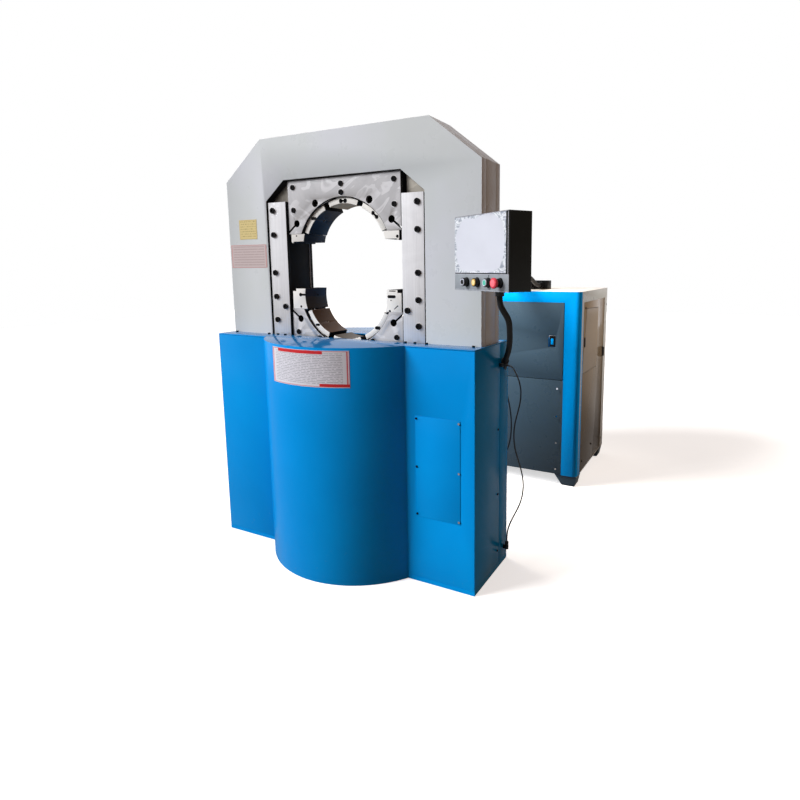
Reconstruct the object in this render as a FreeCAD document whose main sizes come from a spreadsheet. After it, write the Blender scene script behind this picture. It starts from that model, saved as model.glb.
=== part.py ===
import FreeCAD, Part
import math
import os
import Sketcher
from types import SimpleNamespace

# Hose crimping machine: a vertical O-frame press on a base cabinet, with a ring of master dies,
# a control box on a swivel arm and a separate hydraulic unit joined by hoses.
# Frame: the origin is on the floor under the middle of the press base, X to the right as the
# operator sees it, Y away from the operator, Z up. Lengths are in millimetres.

SIZES = dict(
    # base cabinet
    base_end=15.0, base_depth=385.0, base_height=1100.0, sheet=3.0, floor_plate=20.0,
    top_plate=6.0, side_cover=2.0, cover_seam=285.0, seam_gap=3.0, slot_margin=0.5,
    drum_radius=488.0, drum_reach=414.5, drum_half_width=409.0,
    panel_left=459.0, panel_right=682.0, panel_bottom=320.0, panel_top=790.0, panel_sheet=2.0,
    panel_lap=10.0, panel_screw_inset=6.0, screw_radius=5.0, screw_head=3.0,
    side_screw_inset=20.0, side_screw_low=92.0, side_screw_middle=377.0, side_screw_high=693.0,
    foot_bolt_radius=7.0, foot_bolt_head=6.0, foot_bolt_setback=14.0,
    foot_bolt_a=362.0, foot_bolt_b=412.0, foot_bolt_c=473.0, foot_bolt_end=30.0,
    # press frame
    press_setback=7.5, frame_width=1470.0, frame_depth=200.0, frame_top=2082.0, frame_side_top=1888.0,
    frame_chamfer=248.0, middle_plate=110.0, window_top=1872.0,
    window_side_top=1775.0, window_chamfer=121.0, window_bottom=230.0,
    # cylinder and ram
    barrel_radius=385.0, bore_radius=320.0, barrel_end=70.0, barrel_top=780.0,
    gland_height=65.0, rod_radius=250.0, piston_bottom=330.0, piston_height=100.0,
    running_gap=0.05, seat_gap=0.3, seal_height=12.0, seal_depth=6.0, stroke=233.0,
    rod_top=855.0, ram_plate_margin=5.0, ram_plate_depth=176.0,
    # guides, which fill the window's width
    guide_inner=345.0, guide_width=117.0, guide_block_depth=152.0, guide_bottom=900.0, corner_lip=5.0,
    rail_lip=5.0, rail_edge=7.0, rail_thickness=18.0,
    rail_bolt_radius=14.0, rail_bolt_head=9.0, rail_bolt_inset=79.0,
    rail_bolt_a=1176.0, rail_bolt_b=1295.5, rail_bolt_c=1417.5, rail_bolt_d=1608.5, rail_bolt_e=1729.0,
    low_bolt_inset=21.0, low_bolt_height=1246.0,
    corner_depth=107.0,
    # die ring
    die_bore=210.0, die_thickness=25.0, die_opening=35.0, die_half_angle=22.5, die_gap=4.0,
    die_length=141.4, crimp_centre=1536.0, seat_distance=240.0, seat_angle=22.5,
    foot_inset=6.0, foot_half_width=60.0, top_foot_half_width=46.0, foot_root=226.0,
    pin_hole=6.0, pin_depth=14.0,
    # die holders
    holder_core_depth=142.0, holder_plate=12.0, holder_margin=14.0, holder_bore=276.0,
    upper_plate_bottom=1609.0, upper_plate_top=1868.0, lower_plate_top=1235.0,
    lower_plate_bottom=976.0, lower_core_bottom=974.0, plate_bore_offset=35.0,
    big_hole=18.0, big_hole_out=160.0, big_hole_lift=252.0,
    side_hole=17.0, side_hole_margin=65.0, upper_side_hole=1660.0, lower_side_hole=1185.0,
    slot_width=9.0, slot_angle=38.0, slot_length=70.0,
    holder_bolt_radius=13.0, holder_bolt_head=5.0,
    bolt_margin=48.0, bolt_inset=32.0, bolt_second=142.0, middle_bolt_inset=72.0,
    # side dies
    side_margin=19.0, side_depth=165.4, side_split=1572.0, side_slit=1.0, bump_margin=27.0,
    bump_width=12.0, bump_drop=6.0, notch_width=22.0, notch_height=13.0, upper_side_margin=25.0,
    # control box
    box_width=359.0, box_depth=103.0, box_height=290.0, box_wall=3.0, box_front=4.0,
    box_overlap=68.0, box_corner_y=-204.5, box_bottom=1350.5, box_turn=-31.5,
    strip_height=65.0, strip_sheet=1.5, screen_left=2.0, screen_right=343.0,
    screen_low=68.0, screen_high=287.0, screen_sheet=2.0,
    button_line=33.0, first_button=88.0, button_step=73.7,
    button_stem=11.0, button_radius=13.0, button_out=22.0,
    button_back=26.0, stop_radius=20.0, stop_out=36.0, stop_cap=14.0, knob_out=27.0,
    button_travel=4.0, stop_travel=5.0, knob_grip=7.0,
    # swivel arm
    pivot_out=60.0, pivot_radius=30.0, pivot_half_height=45.0, pin_radius=12.0,
    arm_height=1500.0, arm_radius=22.0, arm_root_y=-20.0, bracket_sheet=14.0,
    bracket_half=70.0, lug_sheet=12.0, lug_half_width=34.0, bracket_bolt_radius=9.0,
    bracket_bolt_out=50.0, bracket_bolt_head=8.0,
    # cords and glands
    gland_along=197.0, gland_deep=80.0, conduit_radius=12.5, cable_radius=3.5, hose_radius=14.0,
    gland_radius=18.0, gland_length=22.0, stub_out=16.0, stub_length=88.0, small_gland_radius=9.0, small_gland_length=16.0,
    plug_out=18.0, plug_radius=9.0, plug_length=38.0,
    fitting_radius=20.0, fitting_length=42.0, port_block=90.0, port_height=60.0, hose_spacing=64.0,
    # hydraulic unit
    unit_right=838.0, unit_width=952.0, unit_front=1226.0, unit_depth=790.0,
    unit_height=1283.0, unit_foot=68.0, post_width=104.0, post_depth=80.0, post_round=34.0,
    beam_height=70.0, unit_panel=2.0, unit_recess=2.0, door_right_gap=108.0,
    door_seam=711.0, door_top=1212.0, door_gap=4.0, door_sheet=20.0,
    pull_left=210.0, pull_width=50.0, pull_top=1000.0,
    pull_height=78.0, pull_depth=10.0, hinge_radius=7.0, hinge_pin=3.0,
    hinge_length=60.0, hinge_leaf=2.0, hinge_leaf_width=30.0, low_hinge=800.0, high_hinge=1080.0,
    foot_length=100.0, foot_setback=10.0, foot_top_width=150.0, foot_inner=100.0, foot_outer=15.0,
    tray_sheet=4.0, tank_height=430.0, tank_margin=90.0, motor_radius=130.0,
    motor_length=330.0, pump_radius=80.0, pump_length=150.0,
    bell_radius=110.0, bell_length=90.0, motor_foot=60.0,
)


class Size:
    """A value together with the sheet formula that gives it."""

    def __init__(self, number, text):
        self.number = number
        self.text = text

    @staticmethod
    def of(value):
        if isinstance(value, Size):
            return value
        return Size(float(value), repr(float(value)))

    def __add__(self, other):
        other = Size.of(other)
        return Size(self.number + other.number, f"({self.text} + {other.text})")

    def __sub__(self, other):
        other = Size.of(other)
        return Size(self.number - other.number, f"({self.text} - {other.text})")

    def __mul__(self, other):
        other = Size.of(other)
        return Size(self.number * other.number, f"({self.text} * {other.text})")

    def __truediv__(self, other):
        other = Size.of(other)
        return Size(self.number / other.number, f"({self.text} / {other.text})")

    def __neg__(self):
        return Size(-self.number, f"(0 - {self.text})")

    def __radd__(self, other):
        return Size.of(other) + self

    def __rsub__(self, other):
        return Size.of(other) - self

    def __rmul__(self, other):
        return Size.of(other) * self


def sin_of(angle):
    return Size(math.sin(math.radians(angle.number)), f"sin({angle.text} * 1deg)")


def cos_of(angle):
    return Size(math.cos(math.radians(angle.number)), f"cos({angle.text} * 1deg)")


DOC = FreeCAD.newDocument("HoseCrimpingMachine")
SHEET = DOC.addObject("Spreadsheet::Sheet", "Sizes")
for row, (alias, number) in enumerate(SIZES.items(), 1):
    SHEET.set(f"A{row}", alias)
    SHEET.set(f"B{row}", str(number))
    SHEET.setAlias(f"B{row}", alias)
DOC.recompute()
s = SimpleNamespace(**{alias: Size(number, "Sizes." + alias) for alias, number in SIZES.items()})
PIECES = []
ZERO = Size.of(0.0)
ALONG = {
    "x": FreeCAD.Rotation(FreeCAD.Vector(0, 1, 0), 90),
    "y": FreeCAD.Rotation(FreeCAD.Vector(1, 0, 0), -90),
    "z": FreeCAD.Rotation(),
}
FRONT_VIEW_TURN = FreeCAD.Vector(0, -1, 0)
PLAN_TURN = FreeCAD.Vector(0, 0, 1)


def bind(item, name, value):
    """Tie one property of an object to the sheet."""
    item.setExpression(name, Size.of(value).text)


def put(item, at):
    """Tie an object's place to the sheet."""
    for letter, value in zip("xyz", at):
        bind(item, "Placement.Base." + letter, value)


def slab(name, x_range, y_range, z_range):
    """A rectangular block between two values along each axis."""
    item = DOC.addObject("Part::Box", name)
    for side, ends in zip(("Length", "Width", "Height"), (x_range, y_range, z_range)):
        bind(item, side, Size.of(ends[1]) - ends[0])
    put(item, (x_range[0], y_range[0], z_range[0]))
    return item


def rod(name, radius, start, length, axis="z"):
    """A cylinder from its start point along one axis."""
    item = DOC.addObject("Part::Cylinder", name)
    bind(item, "Radius", radius)
    bind(item, "Height", length)
    item.Placement = FreeCAD.Placement(FreeCAD.Vector(), ALONG[axis])
    put(item, start)
    return item


def fuse(name, parts):
    item = DOC.addObject("Part::MultiFuse", name)
    item.Shapes = parts
    item.Refine = True
    return item


def common(name, first, second):
    item = DOC.addObject("Part::Common", name)
    item.Base = first
    item.Tool = second
    return item


def cut(name, base, tools):
    item = DOC.addObject("Part::Cut", name)
    item.Base = base
    item.Tool = tools[0] if len(tools) == 1 else fuse(name + "_tools", tools)
    return item


def group(name, parts):
    """Separate solids that share one node."""
    item = DOC.addObject("Part::Compound", name)
    item.Links = parts
    return item


def node(item, label, at=None, turn=None, axis=None):
    """Name a finished sub-part, and place it if it was made at its own origin."""
    if turn is not None:
        item.Placement = FreeCAD.Placement(FreeCAD.Vector(), FreeCAD.Rotation(axis, 1.0))
        bind(item, "Placement.Rotation.Angle", turn)
    if at is not None:
        put(item, at)
    item.Label = label
    PIECES.append(item)
    return item


def origin_plane(body, role):
    return next(feature for feature in body.Origin.OriginFeatures if feature.Role == role)


def tie_point(sketch, geometry, position, point):
    """Fix one sketch point by its two distances from the sketch's origin."""
    for kind, value in zip(("DistanceX", "DistanceY"), point):
        value = Size.of(value)
        index = sketch.addConstraint(
            Sketcher.Constraint(kind, -1, 1, geometry, position, value.number))
        sketch.setExpression(f"Constraints[{index}]", value.text)


def draw_loop(sketch, points):
    """Draw a closed outline of straight lines through fixed points."""
    places = [FreeCAD.Vector(Size.of(a).number, Size.of(b).number, 0) for a, b in points]
    first = sketch.GeometryCount
    count = len(points)
    for index in range(count):
        sketch.addGeometry(Part.LineSegment(places[index], places[(index + 1) % count]), False)
    for index in range(count):
        after = first + (index + 1) % count
        sketch.addConstraint(Sketcher.Constraint("Coincident", first + index, 2, after, 1))
        tie_point(sketch, first + index, 1, points[index])


def draw_circle(sketch, centre, radius):
    """Draw a hole in an outline."""
    place = FreeCAD.Vector(Size.of(centre[0]).number, Size.of(centre[1]).number, 0)
    radius = Size.of(radius)
    circle = Part.Circle(place, FreeCAD.Vector(0, 0, 1), radius.number)
    geometry = sketch.addGeometry(circle, False)
    tie_point(sketch, geometry, 3, centre)
    index = sketch.addConstraint(Sketcher.Constraint("Radius", geometry, radius.number))
    sketch.setExpression(f"Constraints[{index}]", radius.text)


def profile(name, loops, depth, y_back, holes=(), plane="XZ_Plane"):
    """A plate drawn in the front view: its back face is at y_back and it grows towards -Y."""
    body = DOC.addObject("PartDesign::Body", name)
    sketch = body.newObject("Sketcher::SketchObject", name + "_outline")
    sketch.AttachmentSupport = [(origin_plane(body, plane), "")]
    sketch.MapMode = "FlatFace"
    for loop in loops:
        draw_loop(sketch, loop)
    for centre, radius in holes:
        draw_circle(sketch, centre, radius)
    pad = body.newObject("PartDesign::Pad", name + "_pad")
    pad.Profile = sketch
    bind(pad, "Length", depth)
    if plane == "XZ_Plane":
        bind(body, "Placement.Base.y", y_back)
    else:
        bind(body, "Placement.Base.z", y_back)
    return body


def mirrored(points):
    """The other half of a left-right symmetric outline, in reverse order."""
    return [(-Size.of(a), b) for a, b in reversed(points)]


def bolt(name, centre, radius, head, face, side, shank=None):
    """A cheese head on a shank along Y: its head stands on the face on the given side."""
    x, z = centre
    if side < 0:
        parts = [rod(name + "_head", radius, (x, face - head, z), head, "y")]
        start = face
    else:
        parts = [rod(name + "_head", radius, (x, face, z), head, "y")]
        start = face - (shank or head)
    if shank is None:
        return parts[0]
    parts.append(rod(name + "_shank", radius * 0.5, (x, start, z), shank, "y"))
    return fuse(name, parts)


# press base

half_length = s.frame_width / 2 + s.base_end
half_depth = s.base_depth / 2
half_frame = s.frame_depth / 2
half_window = s.guide_inner + s.guide_width
guide_top = s.window_side_top - s.corner_lip
mid = s.press_setback
shell_half = half_length - s.side_cover
cabinet_top = s.base_height - s.top_plate
drum_centre = s.drum_radius - s.drum_reach
seam_line = s.cover_seam - half_depth


def make_base():
    plate = slab("floor_blank", (-half_length, half_length), (-half_depth, half_depth), (0, s.floor_plate))
    node(plate, "base_floor_plate")
    outer = slab("cabinet_outer", (-shell_half, shell_half), (-half_depth, half_depth),
                 (s.floor_plate, cabinet_top))
    inside = shell_half - s.sheet
    inner = slab("cabinet_inner", (-inside, inside), (s.sheet - half_depth, half_depth - s.sheet),
                 (s.floor_plate, cabinet_top))
    window = s.drum_half_width - s.sheet
    mouth = slab("cabinet_drum_gap", (-window, window), (-half_depth, half_depth),
                 (s.floor_plate, cabinet_top))
    hatch = slab("cabinet_hatch", (s.panel_left + s.panel_lap, s.panel_right - s.panel_lap),
                 (-half_depth, s.sheet - half_depth),
                 (s.panel_bottom + s.panel_lap, s.panel_top - s.panel_lap))
    shell = cut("cabinet_shell", outer, [inner, mouth, hatch])
    node(shell, "base_cabinet")

    top = slab("top_blank", (-half_length, half_length), (-half_depth, half_depth),
               (cabinet_top, s.base_height))
    slot_x = s.frame_width / 2 + s.slot_margin
    slot_y = half_frame + s.slot_margin
    slot = slab("top_slot", (-slot_x, slot_x), (mid - slot_y, mid + slot_y), (cabinet_top, s.base_height))
    node(cut("top_with_slot", top, [slot]), "base_top_plate")

    for side, label in ((-1, "front_drum_cover"), (1, "rear_drum_cover")):
        make_drum(side, label)
    panel = slab("service_panel", (s.panel_left, s.panel_right),
                 (-half_depth - s.panel_sheet, -half_depth), (s.panel_bottom, s.panel_top))
    node(panel, "front_service_panel")
    covers = []
    for index, outward in enumerate((-1, 1)):
        near = shell_half if outward > 0 else -half_length
        far = half_length if outward > 0 else -shell_half
        covers.append(slab(f"side_cover_{index}", (near, far),
                           (-half_depth, seam_line - s.seam_gap), (s.floor_plate, cabinet_top)))
        covers.append(slab(f"side_strip_{index}", (near, far), (seam_line, half_depth),
                           (s.floor_plate, cabinet_top)))
    node(group("side_cover_set", covers), "side_covers")
    make_base_screws()


def make_drum(side, label):
    """One of the curved covers round the cylinder: a bent sheet with a flat cap."""
    centre_y = drum_centre if side < 0 else -drum_centre
    outer = rod(label + "_outer", s.drum_radius, (0, centre_y, 0), s.base_height)
    inner = rod(label + "_inner", s.drum_radius - s.sheet, (0, centre_y, 0), cabinet_top)
    shell = cut(label + "_shell", outer, [inner])
    reach = s.drum_radius * 2
    y_range = (-reach, -half_depth) if side < 0 else (half_depth, reach)
    front = slab(label + "_front", (-s.drum_half_width, s.drum_half_width), y_range, (0, s.base_height))
    node(common(label + "_part", shell, front), label)


def make_base_screws():
    """Screws of the service panel and side covers, and the bolts beside the frame."""
    parts = []
    face = -half_depth - s.panel_sheet
    inset = s.panel_screw_inset
    middle = (s.panel_bottom + s.panel_top) / 2
    for column, x in enumerate((s.panel_left + inset, s.panel_right - inset)):
        for line, z in enumerate((s.panel_bottom + inset * 2, middle, s.panel_top - inset * 2)):
            parts.append(rod(f"panel_screw_{column}_{line}", s.screw_radius,
                             (x, face - s.screw_head, z), s.screw_head, "y"))
    screw_y = seam_line - s.seam_gap - s.side_screw_inset
    for index, x in enumerate((-half_length - s.screw_head, half_length)):
        for line, z in enumerate((s.side_screw_low, s.side_screw_middle, s.side_screw_high)):
            parts.append(rod(f"side_screw_{index}_{line}", s.screw_radius, (x, screw_y, z),
                             s.screw_head, "x"))
    for row, side in enumerate((-1, 1)):
        line_y = mid + (half_frame + s.foot_bolt_setback) * side
        last = s.frame_width / 2 - s.foot_bolt_end
        for index, out in enumerate((s.foot_bolt_a, s.foot_bolt_b, s.foot_bolt_c, last)):
            for sign in (-1, 1):
                parts.append(rod(f"foot_bolt_{row}_{index}_{sign + 1}", s.foot_bolt_radius,
                                 (out * sign, line_y, s.base_height), s.foot_bolt_head))
    node(group("base_screw_set", parts), "base_screws")


# press frame and cylinder

def frame_outline():
    half = s.frame_width / 2
    right = [(half, s.floor_plate), (half, s.frame_side_top), (half - s.frame_chamfer, s.frame_top)]
    return right + mirrored(right)


def window_outline():
    half = half_window
    right = [(half, s.window_bottom), (half, s.window_side_top),
             (half - s.window_chamfer, s.window_top)]
    return right + mirrored(right)


def make_frame():
    loops = [frame_outline(), window_outline()]
    half_middle = s.middle_plate / 2
    side_plate = half_frame - half_middle
    node(profile("front_frame", loops, side_plate, mid - half_middle), "frame_front_plate")
    node(profile("middle_frame", loops, s.middle_plate, mid + half_middle), "frame_middle_plate")
    node(profile("rear_frame", loops, side_plate, mid + half_frame), "frame_rear_plate")


def make_cylinder():
    barrel = rod("barrel_blank", s.barrel_radius, (0, mid, s.window_bottom), s.barrel_top - s.window_bottom)
    bore_floor = s.window_bottom + s.barrel_end
    bore = rod("barrel_bore", s.bore_radius, (0, mid, bore_floor), s.barrel_top - bore_floor)
    node(cut("barrel", barrel, [bore]), "cylinder_barrel")
    gland = rod("gland_blank", s.barrel_radius, (0, mid, s.barrel_top), s.gland_height)
    hole = rod("gland_hole", s.rod_radius + s.running_gap, (0, mid, s.barrel_top), s.gland_height)
    groove_z = s.barrel_top + s.gland_height / 2 - s.seal_height / 2
    groove = rod("gland_groove", s.rod_radius + s.seal_depth, (0, mid, groove_z), s.seal_height)
    node(cut("gland", gland, [hole, groove]), "cylinder_gland")
    seal = rod("seal_blank", s.rod_radius + s.seal_depth, (0, mid, groove_z), s.seal_height)
    seal_hole = rod("seal_hole", s.rod_radius + s.running_gap, (0, mid, groove_z), s.seal_height)
    node(cut("seal", seal, [seal_hole]), "rod_seal")
    piston = rod("piston_head", s.bore_radius - s.running_gap, (0, mid, s.piston_bottom), s.piston_height)
    rod_bottom = s.piston_bottom + s.piston_height
    stem = rod("piston_rod", s.rod_radius, (0, mid, rod_bottom), s.rod_top - rod_bottom)
    node(fuse("ram", [piston, stem]), "ram_piston")
    half = s.guide_inner - s.ram_plate_margin
    deep = s.ram_plate_depth / 2
    node(slab("ram_block", (-half, half), (mid - deep, mid + deep), (s.rod_top, s.lower_core_bottom)), "ram_plate")


def make_guides():
    blocks = []
    rails = []
    corners = []
    bolts = []
    outer = half_window
    half_block = s.guide_block_depth / 2
    for side, sign in (("left", -1), ("right", 1)):
        near = s.guide_inner * sign
        far = outer * sign
        pair = (far, near) if sign < 0 else (near, far)
        blocks.append(slab(f"{side}_guide", pair, (mid - half_block, mid + half_block),
                           (s.guide_bottom, guide_top)))
        rail_near = (s.guide_inner - s.rail_lip) * sign
        rail_far = (outer - s.rail_edge) * sign
        rail_pair = (rail_far, rail_near) if sign < 0 else (rail_near, rail_far)
        corner_right = [
            (s.guide_inner, guide_top), (outer, guide_top), (outer, s.window_side_top),
            (s.guide_inner, s.window_top - (s.window_chamfer - (outer - s.guide_inner))
             * (s.window_top - s.window_side_top) / s.window_chamfer),
        ]
        points = corner_right if sign > 0 else mirrored(corner_right)
        corners.append(profile(f"{side}_corner", [points], s.corner_depth, mid + s.corner_depth / 2))
        for face, direction in (("front", -1), ("rear", 1)):
            back = mid + half_block * direction
            proud = back + s.rail_thickness * direction
            y_pair = (proud, back) if direction < 0 else (back, proud)
            rails.append(slab(f"{face}_{side}_rail", rail_pair, y_pair, (s.guide_bottom, guide_top)))
            heights = (s.rail_bolt_a, s.rail_bolt_b, s.rail_bolt_c, s.rail_bolt_d, s.rail_bolt_e)
            centres = [((s.guide_inner + s.rail_bolt_inset) * sign, height) for height in heights]
            centres.append(((s.guide_inner + s.low_bolt_inset) * sign, s.low_bolt_height))
            for index, centre in enumerate(centres):
                bolts.append(bolt(f"{face}_{side}_bolt_{index}", centre, s.rail_bolt_radius,
                                  s.rail_bolt_head, proud, direction))
    node(group("guide_block_pair", blocks), "guide_blocks")
    node(group("guide_rail_set", rails), "guide_rails")
    node(group("corner_set", corners), "corner_plates")
    return bolts


# die holders and dies

holder_half = s.guide_inner - s.holder_margin
side_hole_out = s.guide_inner - s.side_hole_margin
seat_sin = sin_of(s.seat_angle)
seat_cos = cos_of(s.seat_angle)
seat_reach = s.seat_distance + s.seat_gap
flat_half = seat_reach * (1 - seat_cos) / seat_sin
lower_centre = s.crimp_centre - s.stroke


def seat_height(half_width):
    """Distance of the sloping die seat from the crimp centre at a given half width."""
    return (seat_reach - seat_sin * half_width) / seat_cos


def holder_plates(name, bottom, top, bore_z, side_hole_z, big_hole_z, slot_sign):
    """Front and rear face plates of a holder, with their bore, drain holes and oblique slots."""
    half = holder_half
    core = s.holder_core_depth / 2
    loop = [(-half, bottom), (half, bottom), (half, top), (-half, top)]
    plates = []
    for face, y_back in (("front", mid - core), ("rear", mid + core + s.holder_plate)):
        holes = [((s.big_hole_out * sign, big_hole_z), s.big_hole) for sign in (-1, 1)]
        holes += [((side_hole_out * sign, side_hole_z), s.side_hole) for sign in (-1, 1)]
        blank = profile(f"{name}_{face}_plate", [loop], s.holder_plate, y_back, holes)
        y_low = y_back - s.holder_plate
        tools = [rod(f"{name}_{face}_bore", s.holder_bore, (0, y_low, bore_z), s.holder_plate, "y")]
        for sign in (-1, 1):
            slot = slab(f"{name}_{face}_slot_{sign + 1}", (0, s.slot_length),
                        (0, s.holder_plate), (-s.slot_width / 2, s.slot_width / 2))
            angle = slot_sign * s.slot_angle.number
            turn = angle if sign > 0 else 180.0 - angle
            slot_cut = group(f"{name}_{face}_slot_at_{sign + 1}", [slot])
            slot_cut.Placement = FreeCAD.Placement(
                FreeCAD.Vector(), FreeCAD.Rotation(FRONT_VIEW_TURN, turn))
            put(slot_cut, (side_hole_out * sign, y_low, side_hole_z))
            tools.append(slot_cut)
        plates.append(cut(f"{name}_{face}_finished", blank, tools))
    return group(f"{name}_plate_pair", plates)


def holder_bolts(name, rows, middle_rows):
    """Bolt heads on both faces of a holder."""
    parts = []
    face = s.holder_core_depth / 2 + s.holder_plate
    out = s.guide_inner - s.bolt_margin
    for side, direction in (("front", -1), ("rear", 1)):
        for index, z in enumerate(rows):
            for sign in (-1, 1):
                parts.append(bolt(f"{name}_{side}_bolt_{index}_{sign + 1}", (out * sign, z),
                                  s.holder_bolt_radius, s.holder_bolt_head, mid + face * direction,
                                  direction))
        for index, z in enumerate(middle_rows):
            parts.append(bolt(f"{name}_{side}_middle_{index}", (ZERO, z), s.holder_bolt_radius,
                              s.holder_bolt_head, mid + face * direction, direction))
    return parts


def make_upper_holder():
    half = holder_half
    core_depth = s.holder_core_depth / 2
    seat = s.crimp_centre + seat_reach
    right = [(flat_half, seat), (half, s.crimp_centre + seat_height(half)), (half, s.window_top)]
    bore_z = s.crimp_centre - s.plate_bore_offset
    holes = [((s.big_hole_out * sign, bore_z + s.big_hole_lift), s.big_hole) for sign in (-1, 1)]
    core = profile("upper_core", [right + mirrored(right)], s.holder_core_depth, mid + core_depth, holes)
    node(core, "upper_die_holder")
    plates = holder_plates("upper", s.upper_plate_bottom, s.upper_plate_top, bore_z,
                           s.upper_side_hole, bore_z + s.big_hole_lift, -1)
    node(plates, "upper_holder_plates")
    top = s.upper_plate_top
    return holder_bolts("upper", (top - s.bolt_inset, top - s.bolt_second),
                        (top - s.bolt_inset, top - s.middle_bolt_inset))


def make_lower_holder():
    half = s.guide_inner - s.seat_gap
    core_depth = s.holder_core_depth / 2
    seat = lower_centre - seat_reach
    right = [(half, s.lower_core_bottom), (half, lower_centre - seat_height(half)), (flat_half, seat)]
    bore_z = lower_centre + s.plate_bore_offset
    holes = [((s.big_hole_out * sign, bore_z - s.big_hole_lift), s.big_hole) for sign in (-1, 1)]
    core = profile("lower_core", [right + mirrored(right)], s.holder_core_depth, mid + core_depth, holes)
    node(core, "lower_die_holder")
    plates = holder_plates("lower", s.lower_plate_bottom, s.lower_plate_top, bore_z,
                           s.lower_side_hole, bore_z - s.big_hole_lift, 1)
    node(plates, "lower_holder_plates")
    bottom = s.lower_plate_bottom
    bolts = holder_bolts("lower", (bottom + s.bolt_inset, bottom + s.bolt_second),
                         (bottom + s.bolt_inset, bottom + s.middle_bolt_inset))
    node(group("lower_bolt_set", bolts), "lower_holder_bolts")


def make_die(label, turn, centre, seat_side):
    """A master die: a ring sector whose foot ends on the holder's seat.

    It is drawn under the top of the ring and turned about the crimp axis. seat_side is 0 for a
    flat foot, and 1 or -1 for a wedge that thickens towards the left or the right.
    """
    length = s.die_length
    back = length / 2
    outer = s.die_bore + s.die_thickness
    ring = cut(label + "_ring", rod(label + "_outer", outer, (0, -back, 0), length, "y"),
               [rod(label + "_bore", s.die_bore, (0, -back, 0), length, "y")])
    slope_sin = sin_of(s.die_half_angle)
    slope_cos = cos_of(s.die_half_angle)
    root = s.die_gap / 2 / slope_sin
    reach = outer + s.die_thickness * 2
    edge = [(reach * slope_sin, root + reach * slope_cos), (-reach * slope_sin, root + reach * slope_cos)]
    wedge = profile(label + "_wedge", [[(ZERO, root)] + edge], length, back)
    sector = common(label + "_sector", ring, wedge)
    foot_length = length - s.foot_inset * 2
    if seat_side == 0:
        half = s.top_foot_half_width
        points = [(half, s.foot_root), (half, s.seat_distance), (-half, s.seat_distance),
                  (-half, s.foot_root)]
    else:
        half = s.foot_half_width
        near = (s.seat_distance - seat_sin * half) / seat_cos
        far = (s.seat_distance + seat_sin * half) / seat_cos
        points = [(half, s.foot_root), (half, near), (-half, far), (-half, s.foot_root)]
        if seat_side < 0:
            points = mirrored(points)
    foot = profile(label + "_foot", [points], foot_length, foot_length / 2)
    solid = fuse(label + "_blank", [sector, foot])
    mouth = s.die_bore - s.pin_hole
    hole = rod(label + "_hole", s.pin_hole, (0, 0, mouth), s.pin_hole + s.pin_depth)
    die = cut(label + "_die", solid, [hole])
    node(die, label, centre, turn, FRONT_VIEW_TURN)


def make_dies():
    pitch = s.die_half_angle * 2
    drift = s.die_opening * cos_of(pitch)
    upper_centre = s.crimp_centre - s.die_opening + drift
    lower_rest = lower_centre + s.die_opening - drift
    make_die("top_die", 0, (ZERO, mid, s.crimp_centre), 0)
    make_die("upper_left_die", pitch, (-drift, mid, upper_centre), 1)
    make_die("upper_right_die", -pitch, (drift, mid, upper_centre), -1)
    make_die("bottom_die", pitch * 4, (ZERO, mid, lower_centre), 0)
    make_die("lower_left_die", pitch * 3, (-drift, mid, lower_rest), -1)
    make_die("lower_right_die", -pitch * 3, (drift, mid, lower_rest), 1)
    bore_z = s.crimp_centre
    low_z = lower_centre
    upper_outer = s.guide_inner - s.upper_side_margin
    lower_outer = s.guide_inner - s.side_margin
    bump_out = s.guide_inner - s.bump_margin
    bump_in = bump_out - s.bump_width
    for side, sign in (("left", -1), ("right", 1)):
        inner = s.holder_bore - s.die_opening - s.die_thickness
        top = s.upper_plate_bottom - s.seat_gap
        bump = s.side_split - s.bump_drop
        upper = [(inner, s.side_split), (bump_in, s.side_split), (bump_in, bump),
                 (bump_out, bump), (bump_out, s.side_split),
                 (upper_outer, s.side_split), (upper_outer, top), (inner, top)]
        make_side_die(f"upper_{side}_side_die", upper, sign, bore_z)
        low = s.lower_plate_top + s.seat_gap
        high = s.side_split - s.stroke - s.side_slit
        notch_x = lower_outer - s.notch_width
        lower = [(inner, low), (lower_outer, low), (lower_outer, high - s.notch_height),
                 (notch_x, high - s.notch_height), (notch_x, high), (inner, high)]
        make_side_die(f"lower_{side}_side_die", lower, sign, low_z)


def make_side_die(label, points, sign, centre_z):
    """A side die block with the crimp radius bored in its inner end."""
    if sign < 0:
        points = mirrored(points)
    back = mid + s.side_depth / 2
    blank = profile(label + "_blank", [points], s.side_depth, back)
    bore = rod(label + "_bore", s.die_bore, (s.die_opening * sign, back - s.side_depth, centre_z),
               s.side_depth, "y")
    node(cut(label + "_die", blank, [bore]), label)


# control box on its arm

turn_cos = cos_of(s.box_turn)
turn_sin = sin_of(s.box_turn)
box_corner_x = s.frame_width / 2 - s.box_overlap


def box_point(along, deep):
    """A point of the control box's plan, from its front left corner, in the machine's frame."""
    return (box_corner_x + turn_cos * along - turn_sin * deep,
            s.box_corner_y + turn_sin * along + turn_cos * deep)


pivot_x, pivot_y = box_point(s.box_width / 2, s.box_depth + s.pivot_out)


def place_in_box(item, label):
    node(item, label, (box_corner_x, s.box_corner_y, s.box_bottom), s.box_turn, PLAN_TURN)


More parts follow.
